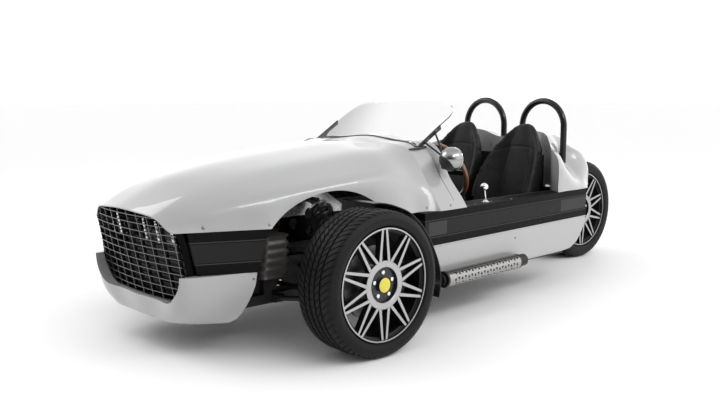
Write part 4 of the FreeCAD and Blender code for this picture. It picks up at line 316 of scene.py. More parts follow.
def wood():
    made = Shader("rim_wood", (0.20, 0.08, 0.035), 0.3)
    grain = made.noise(38.0, 6.0, 0.6, (1.0, 0.25, 1.0))
    made.tint(grain, (0.085, 0.03, 0.013), (0.27, 0.12, 0.055))
    made.bump(grain, 0.05, 0.0004)
    return made.set("Coat Weight", 0.8).set("Coat Roughness", 0.08)


def leather():
    made = Shader("seat_leather", grey(0.008, 0.0085), 0.5).set("Specular IOR Level", 0.2)
    cells = made.add("ShaderNodeTexVoronoi", {"Scale": 260.0}, feature="DISTANCE_TO_EDGE")
    made.link(made.place, cells.inputs["Vector"])
    made.bump(cells.outputs["Distance"], 0.22, 0.0006)
    made.tint(made.noise(6.0), grey(0.006, 0.0065), grey(0.011, 0.0115))
    return made.spread(made.noise(18.0), 0.42, 0.6, "Roughness")


def lens(name, colour):
    """A coloured lamp cover with fine upright ribs."""
    made = Shader(name, colour, 0.08)
    ribs = made.add("ShaderNodeTexWave", {"Scale": 60.0}, bands_direction="Y")
    made.link(made.place, ribs.inputs["Vector"])
    made.bump(ribs.outputs["Fac"], 0.3, 0.001)
    made.tint(made.noise(30.0), scaled(colour, 0.8), colour)
    return made.set("Coat Weight", 1.0).set("Coat Roughness", 0.02)


def cap_yellow():
    made = Shader("cap_yellow", (0.62, 0.55, 0.02), 0.35)
    made.tint(made.noise(60.0, 3.0), (0.55, 0.48, 0.015), (0.68, 0.60, 0.03))
    made.bump(made.noise(300.0), 0.06, 0.0003)
    return made.set("Coat Weight", 0.7).set("Coat Roughness", 0.06)


SHADERS = {
    "paint": paint(),
    "side_band": striped("side_band_black", *SIDE_BAND_Z, SIDE_BLOCKS),
    "nose_band": striped("nose_band_black", *NOSE_BAND_Z, ()),
    "grille": grille_bars(),
    "core": plastic("core_fins", 0.005, 0.6, 200.0),
    "duct": plastic("duct_black", 0.003, 0.6, 500.0).set("Specular IOR Level", 0.0),
    "lamp": lens("lamp_clear", grey(0.10, 0.11)),
    "red": lens("lamp_red", (0.42, 0.01, 0.008)),
    "glass": glass(),
    "bracket": bracket(),
    "trim": plastic("trim_black", 0.012, 0.38, 500.0),
    "liner": plastic("liner_black", 0.02, 0.6, 420.0),
    "tub": tub(),
    "hoop": gloss_black("hoop_black", 0.24, 0.004),
    "guard": gloss_black("guard_black"),
    "shield": shield(),
    "chrome": metal("bright_chrome", (0.80, 0.81, 0.82), 0.05, depth=0.01),
    "bowl": metal("mirror_bowl", grey(0.36, 0.365), 0.16, depth=0.01),
    "mirror": metal("mirror_face", (0.86, 0.87, 0.88), 0.015, depth=0.0),
    "screw": metal("screw_steel", grey(0.22), 0.3),
    "wood": wood(),
    "dark_metal": metal("dark_spokes", grey(0.16, 0.165), 0.35),
    "leather": leather(),
    "rubber": rubber(),
    "face": metal("machined_face", grey(0.43), 0.32, (30.0, 1.0, 30.0), 25.0, 0.03),
    "wheel_dark": cast("wheel_graphite", 0.018, 0.45),
    "recess": gloss_black("hub_recess", 0.25, 0.012),
    "yellow": cap_yellow(),
    "disc": metal("disc_steel", grey(0.30, 0.31), 0.35),
    "iron": cast("knuckle_iron", 0.05),
    "cast": cast("cast_alloy", 0.16),
    "steel": metal("dark_steel", (0.045, 0.043, 0.042), 0.45),
    "black_paint": plastic("frame_black", 0.014, 0.42, 250.0),
    "spring": metal("spring_black", grey(0.05, 0.052), 0.4),
    "collar": metal("collar_alloy", grey(0.7, 0.71), 0.25),
    "brown": plastic("duct_brown", 0.034, 0.42, 160.0, 1.12),
}

NODE_SHADERS = {
    "paint": ("bonnet", "cowl", "front_fascia", "rear_deck", "sills"),
    "side_band": ("side_bands",),
    "nose_band": ("nose_bands",),
    "grille": ("grille",),
    "core": ("radiator",),
    "duct": ("grille_surround",),
    "lamp": ("headlamps",),
    "red": ("tail_lamp",),
    "glass": ("windscreen",),
    "trim": ("windscreen_brackets",),
    "bracket": ("arch_brackets",),
    "liner": ("dashboard",),
    "tub": ("cockpit_tub",),
    "hoop": ("roll_hoops",),
    "guard": ("mudguards",),
    "shield": ("exhaust_shield",),
    "chrome": ("gear_lever",),
    "bowl": ("mirrors",),
    "wood": ("steering_wheel_rim",),
    "dark_metal": ("steering_wheel_spokes",),
    "black_paint": ("steering_column", "chassis_frame", "front_arms"),
    "disc": ("front_disc_left", "front_disc_right", "rear_disc"),
    "iron": ("knuckle_left", "knuckle_right"),
    "cast": ("engine", "swingarm"),
    "steel": ("steering_rack", "drive_shafts", "exhaust_pipe"),
}


def dress(piece, *shaders):
    piece.data.materials.clear()
    for shader in shaders:
        piece.data.materials.append(SHADERS[shader].material)


for shader, names in NODE_SHADERS.items():
    for name in names:
        dress(nodes[name], shader)


# Building blocks for the added pieces.

def circle(centre, first, second, radius, count):
    """Points round a centre, starting along one direction and turning towards another."""
    turns = [math.tau * k / count for k in range(count)]
    return [centre + (first * math.cos(turn) + second * math.sin(turn)) * radius for turn in turns]


def shares(count):
    """Even steps from zero to one."""
    return [k / (count - 1) for k in range(count)]


def outward(mesh, merge=0.0):
    """Turns all faces outward, once points nearer than the merge distance are joined."""
    work = bmesh.new()
    work.from_mesh(mesh)
    if merge:
        bmesh.ops.remove_doubles(work, verts=work.verts, dist=merge)
    bmesh.ops.recalc_face_normals(work, faces=work.faces)
    work.to_mesh(mesh)
    work.free()


class Form:
    """Points and faces that grow step by step; each face has its place in the piece's list of shaders."""

    def __init__(self):
        self.points = []
        self.faces = []
        self.kinds = []

    def add(self, points, faces, kind=0):
        start = len(self.points)
        self.points += [Vector(point) for point in points]
        self.faces += [[start + i for i in face] for face in faces]
        self.kinds += [kind] * len(faces)

    def loft(self, rings, kind=0, caps=True, closed=False):
        """Skins closed rings of equal length; a closed loft joins its last ring to its first."""
        count = len(rings[0])
        faces = []
        for i in range(len(rings) if closed else len(rings) - 1):
            a, b = i * count, ((i + 1) % len(rings)) * count
            for k in range(count):
                faces.append([a + k, a + (k + 1) % count, b + (k + 1) % count, b + k])
        if caps and not closed:
            faces.append(list(range(count))[::-1])
            faces.append([(len(rings) - 1) * count + k for k in range(count)])
        self.add([point for ring in rings for point in ring], faces, kind)
        return self

    def turned(self, centre, axis, profile, count, kind=0):
        """A profile of (distance along the axis, radius) turned round the axis, closed at both ends."""
        along = Vector(axis).normalized()
        first = along.orthogonal().normalized()
        second = along.cross(first)
        return self.loft([circle(Vector(centre) + along * reach, first, second, radius, count)
                          for reach, radius in profile], kind)

    def tube(self, path, radius, sides, kind=0):
        """A round bar along a path of points."""
        path = [Vector(point) for point in path]
        rings = []
        side = None
        for i, spot in enumerate(path):
            ahead = (path[min(i + 1, len(path) - 1)] - path[max(i - 1, 0)]).normalized()
            side = ahead.orthogonal() if side is None else side - ahead * side.dot(ahead)
            side.normalize()
            rings.append(circle(spot, side, ahead.cross(side), radius, sides))
        return self.loft(rings, kind)

    def block(self, low, high, edge):
        """A block with bevelled edges."""
        low, high = Vector(low), Vector(high)
        rings = []
        for z, inset in ((low.z, edge), (low.z + edge, 0.0), (high.z - edge, 0.0), (high.z, edge)):
            x0, x1, y0, y1 = low.x + inset, high.x - inset, low.y + inset, high.y - inset
            rings.append([(x0 + edge, y0, z), (x1 - edge, y0, z), (x1, y0 + edge, z), (x1, y1 - edge, z),
                          (x1 - edge, y1, z), (x0 + edge, y1, z), (x0, y1 - edge, z), (x0, y0 + edge, z)])
        self.loft(rings)

    def piece(self, name, shaders, slot="black_plastic", body="chassis", angle=35.0):
        """Makes the mesh piece, which rides on a body; edges sharper than the angle stay crisp."""
        mesh = bpy.data.meshes.new(name)
        mesh.from_pydata([tuple(point) for point in self.points], [], self.faces)
        if len(shaders) == 1:
            outward(mesh)
        mesh.polygons.foreach_set("use_smooth", [True] * len(mesh.polygons))
        mesh.set_sharp_from_angle(angle=math.radians(angle))
        piece = bpy.data.objects.new(name, mesh)
        scene.collection.objects.link(piece)
        dress(piece, *shaders)
        if len(shaders) > 1:
            mesh.polygons.foreach_set("material_index", self.kinds)
        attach(piece, body)
        return piece


@functools.cache
def skin_of(*names):
    """What a ray can hit on some nodes."""
    points = []
    faces = []
    for name in names:
        start = len(points)
        points += [vertex.co.copy() for vertex in nodes[name].data.vertices]
        faces += [[start + i for i in polygon.vertices] for polygon in nodes[name].data.polygons]
    return BVHTree.FromPolygons(points, faces)


def on_body(x, y):
    """The body's skin above a place, or nothing."""
    above = 1.3
    return skin_of("bonnet", "cowl").ray_cast(Vector((x, y, above)), -UPWARD)[0]


# Tyres: a directional tread of swept blocks between grooves, with smooth ribbed sidewalls.

RIM_RADIUS = 0.246
BEAD_INSET = 0.0133
TREAD_DEPTH = 0.006
CROSS_DEPTH = TREAD_DEPTH * 0.85
PITCHES = 64
PITCH_STEPS = ((0.0, 0), (0.12, 0), (0.34, 0), (0.56, 0), (0.78, 0), (0.80, 1), (0.98, 1))
SWEEP, SWEEP_CURVE = 0.32, 1.5
CROWN_DROP = 0.0022
CHANNEL = -1


def part_of(wheel, part):
    """Name of a part of one wheel, such as front_tyre_left."""
    end, _, side = wheel.partition("_")
    return "_".join(filter(None, (end, part, side)))


def channel(middle):
    """A groove that runs round the tyre between two chamfered lips."""
    lip, floor = 0.0055, 0.0045
    return [(middle + lip, 0.9), (middle + floor, CHANNEL), (middle - floor, CHANNEL), (middle - lip, 0.9)]


def tyre_profile(half, radius, bead):
    """Across the tyre: distance from its middle, radius, and how deep a cross groove runs there."""
    wall = [(bead, RIM_RADIUS - 0.0147), (bead + 0.003, RIM_RADIUS + 0.0003),
            (bead + 0.006, RIM_RADIUS + 0.003), (half - 0.0035, RIM_RADIUS + 0.011),
            (half - 0.001, RIM_RADIUS + 0.02), (half, RIM_RADIUS + 0.033),
            (half - 0.0012, RIM_RADIUS + 0.034), (half - 0.0012, radius - 0.031),
            (half - 0.002, radius - 0.03), (half - 0.004, radius - 0.02)]
    shoulder = [(half - 0.009, radius - 0.0115, 0.2), (half - 0.0165, radius - 0.006, 0.7),
                (half - 0.026, radius - 0.0032, 1)]
    edge = half - 0.034
    across = [(edge, 1), (edge * 0.85, 1), *channel(edge * 0.62),
              (edge * 0.42, 1), *channel(edge * 0.2), (0.0, 0)]
    tread = []
    for y, deep in across:
        drop = CROWN_DROP * (y / edge) ** 2 + (TREAD_DEPTH if deep == CHANNEL else 0.0)
        tread.append((y, radius - drop, max(deep, 0)))
    half_run = [(y, r, 0) for y, r in wall] + shoulder + tread
    return half_run + [(-y, r, deep) for y, r, deep in reversed(half_run[:-1])]


def tyre(wheel, half, rim_half):
    """One tyre, whose cross grooves sweep back from the middle to both shoulders."""
    body = part_of(wheel, "wheel")
    x, y, z = TURNS_AT[body]
    profile = tyre_profile(half, z, rim_half - BEAD_INSET)
    rings = []
    for pitch in range(PITCHES):
        for share, groove in PITCH_STEPS:
            ring = []
            for across, radius, deep in profile:
                swept = SWEEP * (1.0 - (1.0 - min(abs(across) / half, 1.0)) ** SWEEP_CURVE)
                turn = math.tau * (pitch + share) / PITCHES + swept
                reach = radius - CROSS_DEPTH * deep * groove
                ring.append((x + reach * math.cos(turn), y + across, z + reach * math.sin(turn)))
            rings.append(ring)
    name = part_of(wheel, "tyre")
    form = Form().loft(rings, closed=True)
    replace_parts(form.piece(name + "_tread", ("rubber",), "tyre_rubber", body, angle=28.0), name)


# Wheels: twin spokes with machined faces and dark sides, a bare hub ring, five nuts and a yellow cap.

WHEEL_SHADERS = ("face", "wheel_dark", "recess", "yellow", "chrome")
FACE, DARK, RECESS, CAP, NUT = range(5)
FACE_INSET = 0.006
SPOKE_PAIRS = 10
SPOKE_ROOT = {"radius": 0.1035, "degrees": 14.0, "half": 0.0085}
SPOKE_TIP = {"radius": 0.2392, "degrees": 2.7, "half": 0.0066}
SPOKE_DEPTH = 0.03
NUTS, NUT_CIRCLE, NUT_SEAT = 5, 0.054, 0.0152
WHEEL_CREASE, WHEEL_MERGE = 25.0, 0.00002


def wheel_rings(middle, out, profile, count):
    return [circle(middle + out * reach, AHEAD, UPWARD, radius, count) for reach, radius in profile]


def wheel_barrel(form, middle, out, half):
    """The rim, from its bright lip through the well to the inner flange and back."""
    lip = [(half - 0.0005, RIM_RADIUS - 0.0005), (half, RIM_RADIUS - 0.002), (half, 0.2395)]
    well = [(half - 0.002, 0.2385), (half - 0.014, 0.2365), (half - 0.02, 0.226), (-half + 0.02, 0.223),
            (-half, 0.228), (-half, RIM_RADIUS), (-half + 0.010, RIM_RADIUS), (-half + 0.013, 0.231),
            (half - 0.013, 0.231), (half - 0.010, RIM_RADIUS)]
    rings = wheel_rings(middle, out, lip + well, 120)
    for i, ring in enumerate(rings):
        form.loft([ring, rings[(i + 1) % len(rings)]], FACE if i < len(lip) else DARK, caps=False)


def wheel_hub(form, middle, out, face):
    """The hub: its dark back, the machined ring, the recess and the domed cap."""
    count = 60
    profile = [(face - 0.05, 0.001), (face - 0.05, 0.082), (face - 0.016, 0.104), (face - 0.0015, 0.1055),
               (face, 0.104), (face, 0.0785), (face - 0.0015, 0.077), (face - 0.015, 0.0755),
               (face - 0.015, 0.033), (face - 0.001, 0.0325), (face + 0.0005, 0.0315), (face + 0.002, 0.027),
               (face + 0.003, 0.015), (face + 0.0032, 0.001)]
    rings = wheel_rings(middle, out, profile, count)
    tones = [DARK] * 3 + [FACE] * 3 + [RECESS] * 4 + [CAP] * 3
    for inner, outer, tone in zip(rings, rings[1:], tones):
        form.loft([inner, outer], tone, caps=False)
    form.add(rings[0], [list(range(count))], DARK)
    form.add(rings[-1], [list(range(count))], CAP)


def wheel_spoke(form, middle, out, face, pair, side):
    """One spoke of a pair, which narrows from the hub ring to the rim."""
    spots = []
    for end in (SPOKE_ROOT, SPOKE_TIP):
        turn = math.radians(360 / SPOKE_PAIRS * pair + side * end["degrees"])
        spots.append(Vector((math.sin(turn), 0, math.cos(turn))) * end["radius"])
    cross = (spots[1] - spots[0]).normalized().cross(LEFTWARD)
    section = ((-1, face - 0.001), (-0.82, face), (0.82, face), (1, face - 0.001),
               (0.9, face - SPOKE_DEPTH), (-0.9, face - SPOKE_DEPTH))
    root, tip = ([middle + spot + cross * end["half"] * a + out * b for a, b in section]
                 for spot, end in zip(spots, (SPOKE_ROOT, SPOKE_TIP)))
    count = len(section)
    for k in range(count):
        after = (k + 1) % count
        form.add([root[k], root[after], tip[after], tip[k]], [[0, 1, 2, 3]], FACE if k == 1 else DARK)
    form.add(root, [list(range(count))], DARK)
    form.add(tip, [list(range(count))[::-1]], DARK)


def wheel_nut(form, middle, out, face, turn):
    spot = middle + Vector((math.sin(turn), 0, math.cos(turn))) * NUT_CIRCLE + out * (face - NUT_SEAT)
    profile = ((0.0, 0.0095), (0.007, 0.0095), (0.0085, 0.0085), (0.010, 0.005), (0.0105, 0.0008))
    form.turned(spot, out, profile, count=12, kind=NUT)


def wheel(name, half, side):
    """One wheel in one mesh; side is where its face looks."""
    body = part_of(name, "wheel")
    middle = Vector(TURNS_AT[body])
    out = LEFTWARD * side
    face = half - FACE_INSET
    form = Form()
    wheel_barrel(form, middle, out, half)
    wheel_hub(form, middle, out, face)
    for pair in range(SPOKE_PAIRS):
        wheel_spoke(form, middle, out, face, pair, -1)
        wheel_spoke(form, middle, out, face, pair, 1)
    for k in range(NUTS):
        wheel_nut(form, middle, out, face, math.tau * (k + 0.02) / NUTS)
    piece = form.piece("wheel_" + name, WHEEL_SHADERS, "wheel_alloy", body)
    outward(piece.data, WHEEL_MERGE)
    piece.data.set_sharp_from_angle(angle=math.radians(WHEEL_CREASE))
    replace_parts(piece, part_of(name, "rim"))


# Each wheel's name, half the width of its tyre, half the width of its rim, and where its face looks.
WHEELS = (("front_left", 0.1125, 0.104, 1), ("rear", 0.1425, 0.135, 1), ("front_right", 0.1125, 0.104, -1))
for name, tyre_half, rim_half, side in WHEELS:
    tyre(name, tyre_half, rim_half)
    wheel(name, rim_half, side)


# Small domed screws and rivets, set on the skin that carries each.

# Where rays start that find the skins: past a side, over a band, and beside a bracket.
OUTSIDE, OVER, BESIDE = 0.8, 0.8, 0.6
BODY_SCREWS = (("bonnet", 1.662, 0.573, 0.0075), ("bonnet", 1.409, 0.573, 0.0065),
               ("bonnet", 0.529, 0.573, 0.0065), ("cowl", 0.395, 0.575, 0.0065),
               ("front_fascia", 1.472, 0.345, 0.0055), ("sills", -0.158, 0.347, 0.0055))
DECK_SCREW = (-0.5, 0.122, 0.79)
BAND_SCREWS = ((0.226, 0.585), (0.143, 0.566), (0.018, 0.567), (-0.144, 0.574))
BRACKET_SCREWS = ((0.270, 0.930), (0.330, 0.885), (0.400, 0.855))


def screw(form, node, start, way, radius):
    """A screw where a ray meets its node."""
    spot, normal = skin_of(node).ray_cast(Vector(start), way)[:2]
    if spot is None:
        return
    dome = [(-0.001, radius), (0.0004, radius), (0.0016, radius * 0.86), (0.0022, radius * 0.55),
            (0.0023, radius * 0.42), (0.0009, radius * 0.36), (0.0009, 0.0003)]
    form.turned(spot, normal if normal.dot(way) < 0 else -normal, dome, count=18)


screws = Form()
for side in (1, -1):
    inward = LEFTWARD * -side
    for node, x, z, radius in BODY_SCREWS:
        screw(screws, node, (x, side * OUTSIDE, z), inward, radius)
    screw(screws, "rear_deck", (DECK_SCREW[0], side * DECK_SCREW[1], DECK_SCREW[2]), -AHEAD, 0.005)
    for x, y in BAND_SCREWS:
        screw(screws, "side_bands", (x, side * y, OVER), -UPWARD, 0.0055)
    for x, z in BRACKET_SCREWS:
        screw(screws, "windscreen_brackets", (x, side * BESIDE, z), inward, 0.005)
screws.piece("panel_screws", ("screw",), "lever_chrome")


# Front end: upright light strips behind the grille, and the carriers that hold them.

GRILLE_REACH, GRILLE_HALF, GRILLE_TOP = 0.760, 0.358, 0.634
GRILLE_BOW, GRILLE_LEAN = 0.057, 0.206
STRIPS = ((0.115, 0.500, 0.596), (0.196, 0.496, 0.590), (0.282, 0.492, 0.560))
STRIP_HALF, STRIP_DEPTH, STRIP_RIDGE = 0.0085, 0.005, 0.004
STRIP_BEHIND, CARRIER_BEHIND = 0.028, 0.043
CARRIER_Y, CARRIER_Z = (0.095, 0.310), (0.506, 0.548)
RADIATOR_FACE = 1.7065


def nose_x(y, z):
    """Distance along the car of the grille's face at a place across it."""
    bow = GRILLE_BOW * min((y / GRILLE_HALF) ** 2, 1.3)
    return FRONT_AXLE + GRILLE_REACH - bow - GRILLE_LEAN * (GRILLE_TOP - z)


def lamp_strips(side, tag):
    """Three strips with a ridge down the middle, narrower at both ends."""
    form = Form()
    for y, low, high in STRIPS:
        rings = []
        for share in shares(9):
            z = low + (high - low) * share
            wide = STRIP_HALF * (1.0 - max(0.0, abs(share - 0.5) * 2 - 0.8) * 2.5)
            front = nose_x(y, z) - STRIP_BEHIND
            back = front - STRIP_DEPTH
            near, far = y - wide, y + wide
            ring = [(back, near), (front, near), (front + STRIP_RIDGE, y), (front, far), (back, far)]
            rings.append([(x, side * across, z) for x, across in ring][::side])
        form.loft(rings)
    form.piece("lamp_strips_" + tag, ("chrome",), "lamp_glass", angle=50.0)


def lamp_carrier(side, tag):
    """A bar between the grille in front and the radiator behind."""
    low, high = CARRIER_Z
    rings = []
    for share in shares(12):
        y = CARRIER_Y[0] + (CARRIER_Y[1] - CARRIER_Y[0]) * share
        x = nose_x(y, 0.53) - CARRIER_BEHIND
        rings.append([(x, side * y, low), (x, side * y, high),
                      (RADIATOR_FACE, side * y, high), (RADIATOR_FACE, side * y, low)])
    Form().loft(rings).piece("lamp_carrier_" + tag, ("trim",))


# Inside the wheel arches: a ribbed duct, and a closing panel between the lower and upper rails.

DUCT_Z = (0.318, 0.504)
DUCT_X = (1.246, 1.392)
DUCT_Y = (0.312, 0.432)
DUCT_CORNER, DUCT_LEAN, DUCT_BULGE = 0.03, 0.018, 0.008
DUCT_FOLDS, FOLD_DEPTH = 5, 0.004
PANEL_X, PANEL_Y, PANEL_Z = (0.90, 1.63), (0.276, 0.280), (0.214, 0.37)
ROD_HOLE_X, ROD_HOLE_Z = (1.173, 1.199), (0.239, 0.265)


def arch_duct(side, tag):
    """A rounded box with folds, which leans back a little."""
    rings = []
    for share in shares(25):
        fold = FOLD_DEPTH * math.cos(share * math.tau * DUCT_FOLDS)
        lean = DUCT_LEAN * share
        back, front = DUCT_X[0] - lean * 0.4 - fold + DUCT_CORNER, DUCT_X[1] - lean + fold - DUCT_CORNER
        near = DUCT_Y[0] + DUCT_CORNER
        far = DUCT_Y[1] + fold + DUCT_BULGE * math.sin(share * math.pi) - DUCT_CORNER
        ring = []
        for corner, (x, y) in enumerate(((front, far), (back, far), (back, near), (front, near))):
            for step in range(5):
                turn = math.radians(90 * corner + 22.5 * step)
                ring.append((x + DUCT_CORNER * math.cos(turn), side * (y + DUCT_CORNER * math.sin(turn)),
                             DUCT_Z[0] + (DUCT_Z[1] - DUCT_Z[0]) * share))
        rings.append(ring)
    Form().loft(rings).piece("arch_duct_" + tag, ("brown",), angle=60.0)


def arch_panel(side, tag):
    """The closing panel, in four parts round the hole that the tie rod goes through."""
    inner, outer = sorted(side * y for y in PANEL_Y)
    behind, ahead = (PANEL_X[0], ROD_HOLE_X[0]), (ROD_HOLE_X[1], PANEL_X[1])
    over, under = (ROD_HOLE_Z[1], PANEL_Z[1]), (PANEL_Z[0], ROD_HOLE_Z[0])
    form = Form()
    for (x0, x1), (z0, z1) in ((behind, PANEL_Z), (ROD_HOLE_X, over), (ROD_HOLE_X, under), (ahead, PANEL_Z)):
        form.block((x0, inner, z0), (x1, outer, z1), edge=0.001)
    form.piece("arch_panel_" + tag, ("liner",))


# Seals, seams and beads on the body.

SEAM_X, SEAM_BOTTOM, SEAM_RADIUS = 0.354, 0.56, 0.0011
SEAL_X, SEAL_BOW, SEAL_HALF, SEAL_RADIUS = 0.364, 0.062, 0.398, 0.0035
BEAD_RADIUS = 0.0035
FOOT_X, FOOT_LENGTH, FOOT_Y, FOOT_HEIGHT = 0.350, 0.122, 0.412, 0.0065
SILL_BEAD = ((0.596, 0.6448, 0.3905), (-0.3, 0.5879, 0.3905), (-0.889, 0.5503, 0.3905))


def cowl_seam():
    """A thin dark line over the body, where the cowl meets the bonnet."""
    middle = Vector((SEAM_X, 0, SEAM_BOTTOM))
    path = []
    for share in shares(61):
        turn = math.radians(3 + 174 * share)
        way = Vector((0, math.cos(turn), math.sin(turn)))
        spot = skin_of("bonnet", "cowl").ray_cast(middle + way * 1.4, -way)[0]
        if spot and spot.z > SEAM_BOTTOM:
            path.append(spot)
    Form().tube(path, SEAM_RADIUS, sides=6).piece("cowl_seam", ("trim",))


def windscreen_seal():
    """A round seal on the cowl, bowed forward in the middle of the car."""
    path = []
    for share in shares(41):
        y = SEAL_HALF * (2 * share - 1)
        spot = on_body(SEAL_X + SEAL_BOW * (y / COCKPIT_HALF) ** 2, y)
        if spot:
            path.append(spot + UPWARD * 0.0015)
    Form().tube(path, SEAL_RADIUS, sides=8).piece("windscreen_seal", ("trim",))


def sill_bead(side, tag):
    path = [(x, side * y, z) for x, y, z in SILL_BEAD]
    Form().tube(path, BEAD_RADIUS, sides=10).piece("sill_bead_" + tag, ("paint",), "body_paint")


def bracket_foot(side, tag):
    """The slim foot of a bracket of the windscreen, on the cowl."""
    rings = []
    for share in shares(13):
        spot = on_body(FOOT_X + FOOT_LENGTH * share, side * FOOT_Y) + UPWARD * 0.001
        wide = 0.004 + 0.011 * math.sin(math.pi * share) ** 0.5
        rings.append(circle(spot, LEFTWARD * (wide * side), UPWARD * FOOT_HEIGHT, 1.0, 12))
    Form().loft(rings).piece("bracket_foot_" + tag, ("trim",))


# Mirrors: a bright rim round the glass, and a black cup in front with its pivot knob.

MIRROR_SPOT, MIRROR_EDGE = (0.314, 0.552, 0.793), 0.021
MIRROR_RIM, RIM_WIRE = 0.0562, 0.0022
MIRROR_CUP, KNOB_REACH = 0.0618, 0.061
GLASS_PROFILE = ((-0.001, 0.054), (0.0006, 0.054), (0.001, 0.052), (0.001, 0.0005))
KNOB_PROFILE = ((0.0, 0.011), (0.004, 0.011), (0.006, 0.009), (0.0065, 0.004), (0.0068, 0.0005))


def mirror(side, tag):
    centre = Vector((MIRROR_SPOT[0], side * MIRROR_SPOT[1], MIRROR_SPOT[2]))
    edge = centre - AHEAD * MIRROR_EDGE
    rings = []
    for spot in circle(edge, LEFTWARD, UPWARD, MIRROR_RIM, 64):
        rings.append(circle(spot, (spot - edge).normalized(), AHEAD, RIM_WIRE, 8))
    Form().loft(rings, closed=True).piece("mirror_rim_" + tag, ("chrome",), "mirror_chrome")
    face = Form().turned(edge, -AHEAD, GLASS_PROFILE, count=48)
    face.piece("mirror_glass_" + tag, ("mirror",), "mirror_chrome")
    mount = Form()
    way = Vector((0.72, -side * 0.28, -0.66)).normalized()
    cup = [(MIRROR_CUP * math.cos(math.radians(turn)), MIRROR_CUP * math.sin(math.radians(turn)))
           for turn in range(58, 0, -6)]
    mount.turned(centre, way, cup, count=40)
    mount.turned(centre + way * KNOB_REACH, way, KNOB_PROFILE, count=20)
    mount.piece("mirror_mount_" + tag, ("trim",))


# Springs round their dampers, with alloy collars.

SPRING_SHADERS = ("black_paint", "spring", "collar")
DAMPER, WIRE, COLLAR = range(3)
FRONT_LOW, FRONT_HIGH, STUB = (0.572, 0.4453), (0.3923, 0.636), (0.3403, 0.634)
REAR_LOW, REAR_HIGH = Vector((-1.061, -0.19, 0.3875)), Vector((-0.897, -0.19, 0.4654))
FRONT_EYE = ((0, 0.013), (0.002, 0.015), (0.042, 0.015), (0.044, 0.013))
REAR_EYE = ((0, 0.012), (0.002, 0.014), (0.034, 0.014), (0.036, 0.012))
STUB_PROFILE = ((0, 0.011), (0.032, 0.011), (0.033, 0.017), (0.070, 0.017), (0.072, 0.015))


def spring(form, low, high, damper, radius, wire, turns):
    """A damper between two eyes, the collar on it and the wire wound round it."""
    along = (high - low).normalized()
    length = (high - low).length
    tube = ((0.0, damper), (0.18, damper), (0.19, radius + 0.002), (0.215, radius + 0.002), (0.22, damper),
            (0.56, damper), (0.565, damper * 0.55), (0.845, damper * 0.55), (1.0, damper * 0.8))
    collar = ((0.85, damper * 0.6), (0.85, radius + 0.001), (0.855, radius + 0.002), (0.88, radius + 0.002),
              (0.885, radius), (0.885, damper))
    form.turned(low, along, [(length * share, reach) for share, reach in tube], 24, DAMPER)
    form.turned(low, along, [(length * share, reach) for share, reach in collar], 32, COLLAR)
    first = along.orthogonal().normalized()
    second = along.cross(first)
    path = []
    for share in shares(turns * 20 + 1):
        turn = math.tau * turns * share
        path.append(low + along * (length * (0.225 + 0.615 * share))
                    + (first * math.cos(turn) + second * math.sin(turn)) * (radius - wire / 2))
    form.tube(path, wire / 2, 8, WIRE)


def spring_units():
    """Both front units with the stubs that carry them, and the rear one."""
    form = Form()
    for side in (1, -1):
        low, high, stub = (Vector((FRONT_AXLE, side * y, z)) for y, z in (FRONT_LOW, FRONT_HIGH, STUB))
        spring(form, low, high, damper=0.014, radius=0.042, wire=0.011, turns=6)
        form.turned(low - AHEAD * (FRONT_EYE[-1][0] / 2), AHEAD, FRONT_EYE, count=24)
        form.turned(stub, LEFTWARD * side, STUB_PROFILE, count=24)
    spring(form, REAR_LOW, REAR_HIGH, damper=0.011, radius=0.031, wire=0.008, turns=5)
    for spot in (REAR_LOW, REAR_HIGH):
        form.turned(spot - LEFTWARD * (REAR_EYE[-1][0] / 2), LEFTWARD, REAR_EYE, count=24)
    piece = form.piece("spring_units", SPRING_SHADERS, "spring_steel")
    outward(piece.data)
    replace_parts(piece, "coilovers")


# Instruments: two plain round dials on the dash panel behind the steering wheel.

DIALS = (Vector((0.3025, 0.135, 0.775)), Vector((0.3025, 0.275, 0.775)))
DIAL_SHADERS = ("chrome", "trim", "red")
BEZEL, DIAL, NEEDLE = range(3)
BEZEL_PROFILE = ((-0.002, 0.044), (0.008, 0.044), (0.010, 0.042), (0.010, 0.039), (0.004, 0.037))
DIAL_PROFILE = ((0.0, 0.0372), (0.0045, 0.0372), (0.0046, 0.0005))
NEEDLE_TURN, NEEDLE_HALF, NEEDLE_THICK, NEEDLE_RISE = 2.2, 0.0011, 0.0008, 0.0052


def dash_dials():
    form = Form()
    way = Vector((0, math.cos(NEEDLE_TURN), math.sin(NEEDLE_TURN)))
    wide = Vector((0, -way.z, way.y)) * NEEDLE_HALF
    back = AHEAD * -NEEDLE_THICK
    for centre in DIALS:
        form.turned(centre, -AHEAD, BEZEL_PROFILE, 48, BEZEL)
        form.turned(centre, -AHEAD, DIAL_PROFILE, 48, DIAL)
        pivot = centre - AHEAD * NEEDLE_RISE
        tip, foot = pivot + way * 0.028, pivot - way * 0.006
        front = [foot - wide, foot + wide, tip]
        form.add(front + [spot + back for spot in front],
                 [[0, 1, 2], [5, 4, 3], [0, 3, 4, 1], [1, 4, 5, 2], [2, 5, 3, 0]], NEEDLE)
    form.piece("dash_dials", DIAL_SHADERS)


for side, tag in SIDES:
    lamp_strips(side, tag)
    lamp_carrier(side, tag)
    arch_duct(side, tag)
    arch_panel(side, tag)
    sill_bead(side, tag)
    bracket_foot(side, tag)
    mirror(side, tag)
cowl_seam()
windscreen_seal()
spring_units()
dash_dials()


# Seats: padded backs and cushions, swollen a little by a cloth simulation, on two runners each.

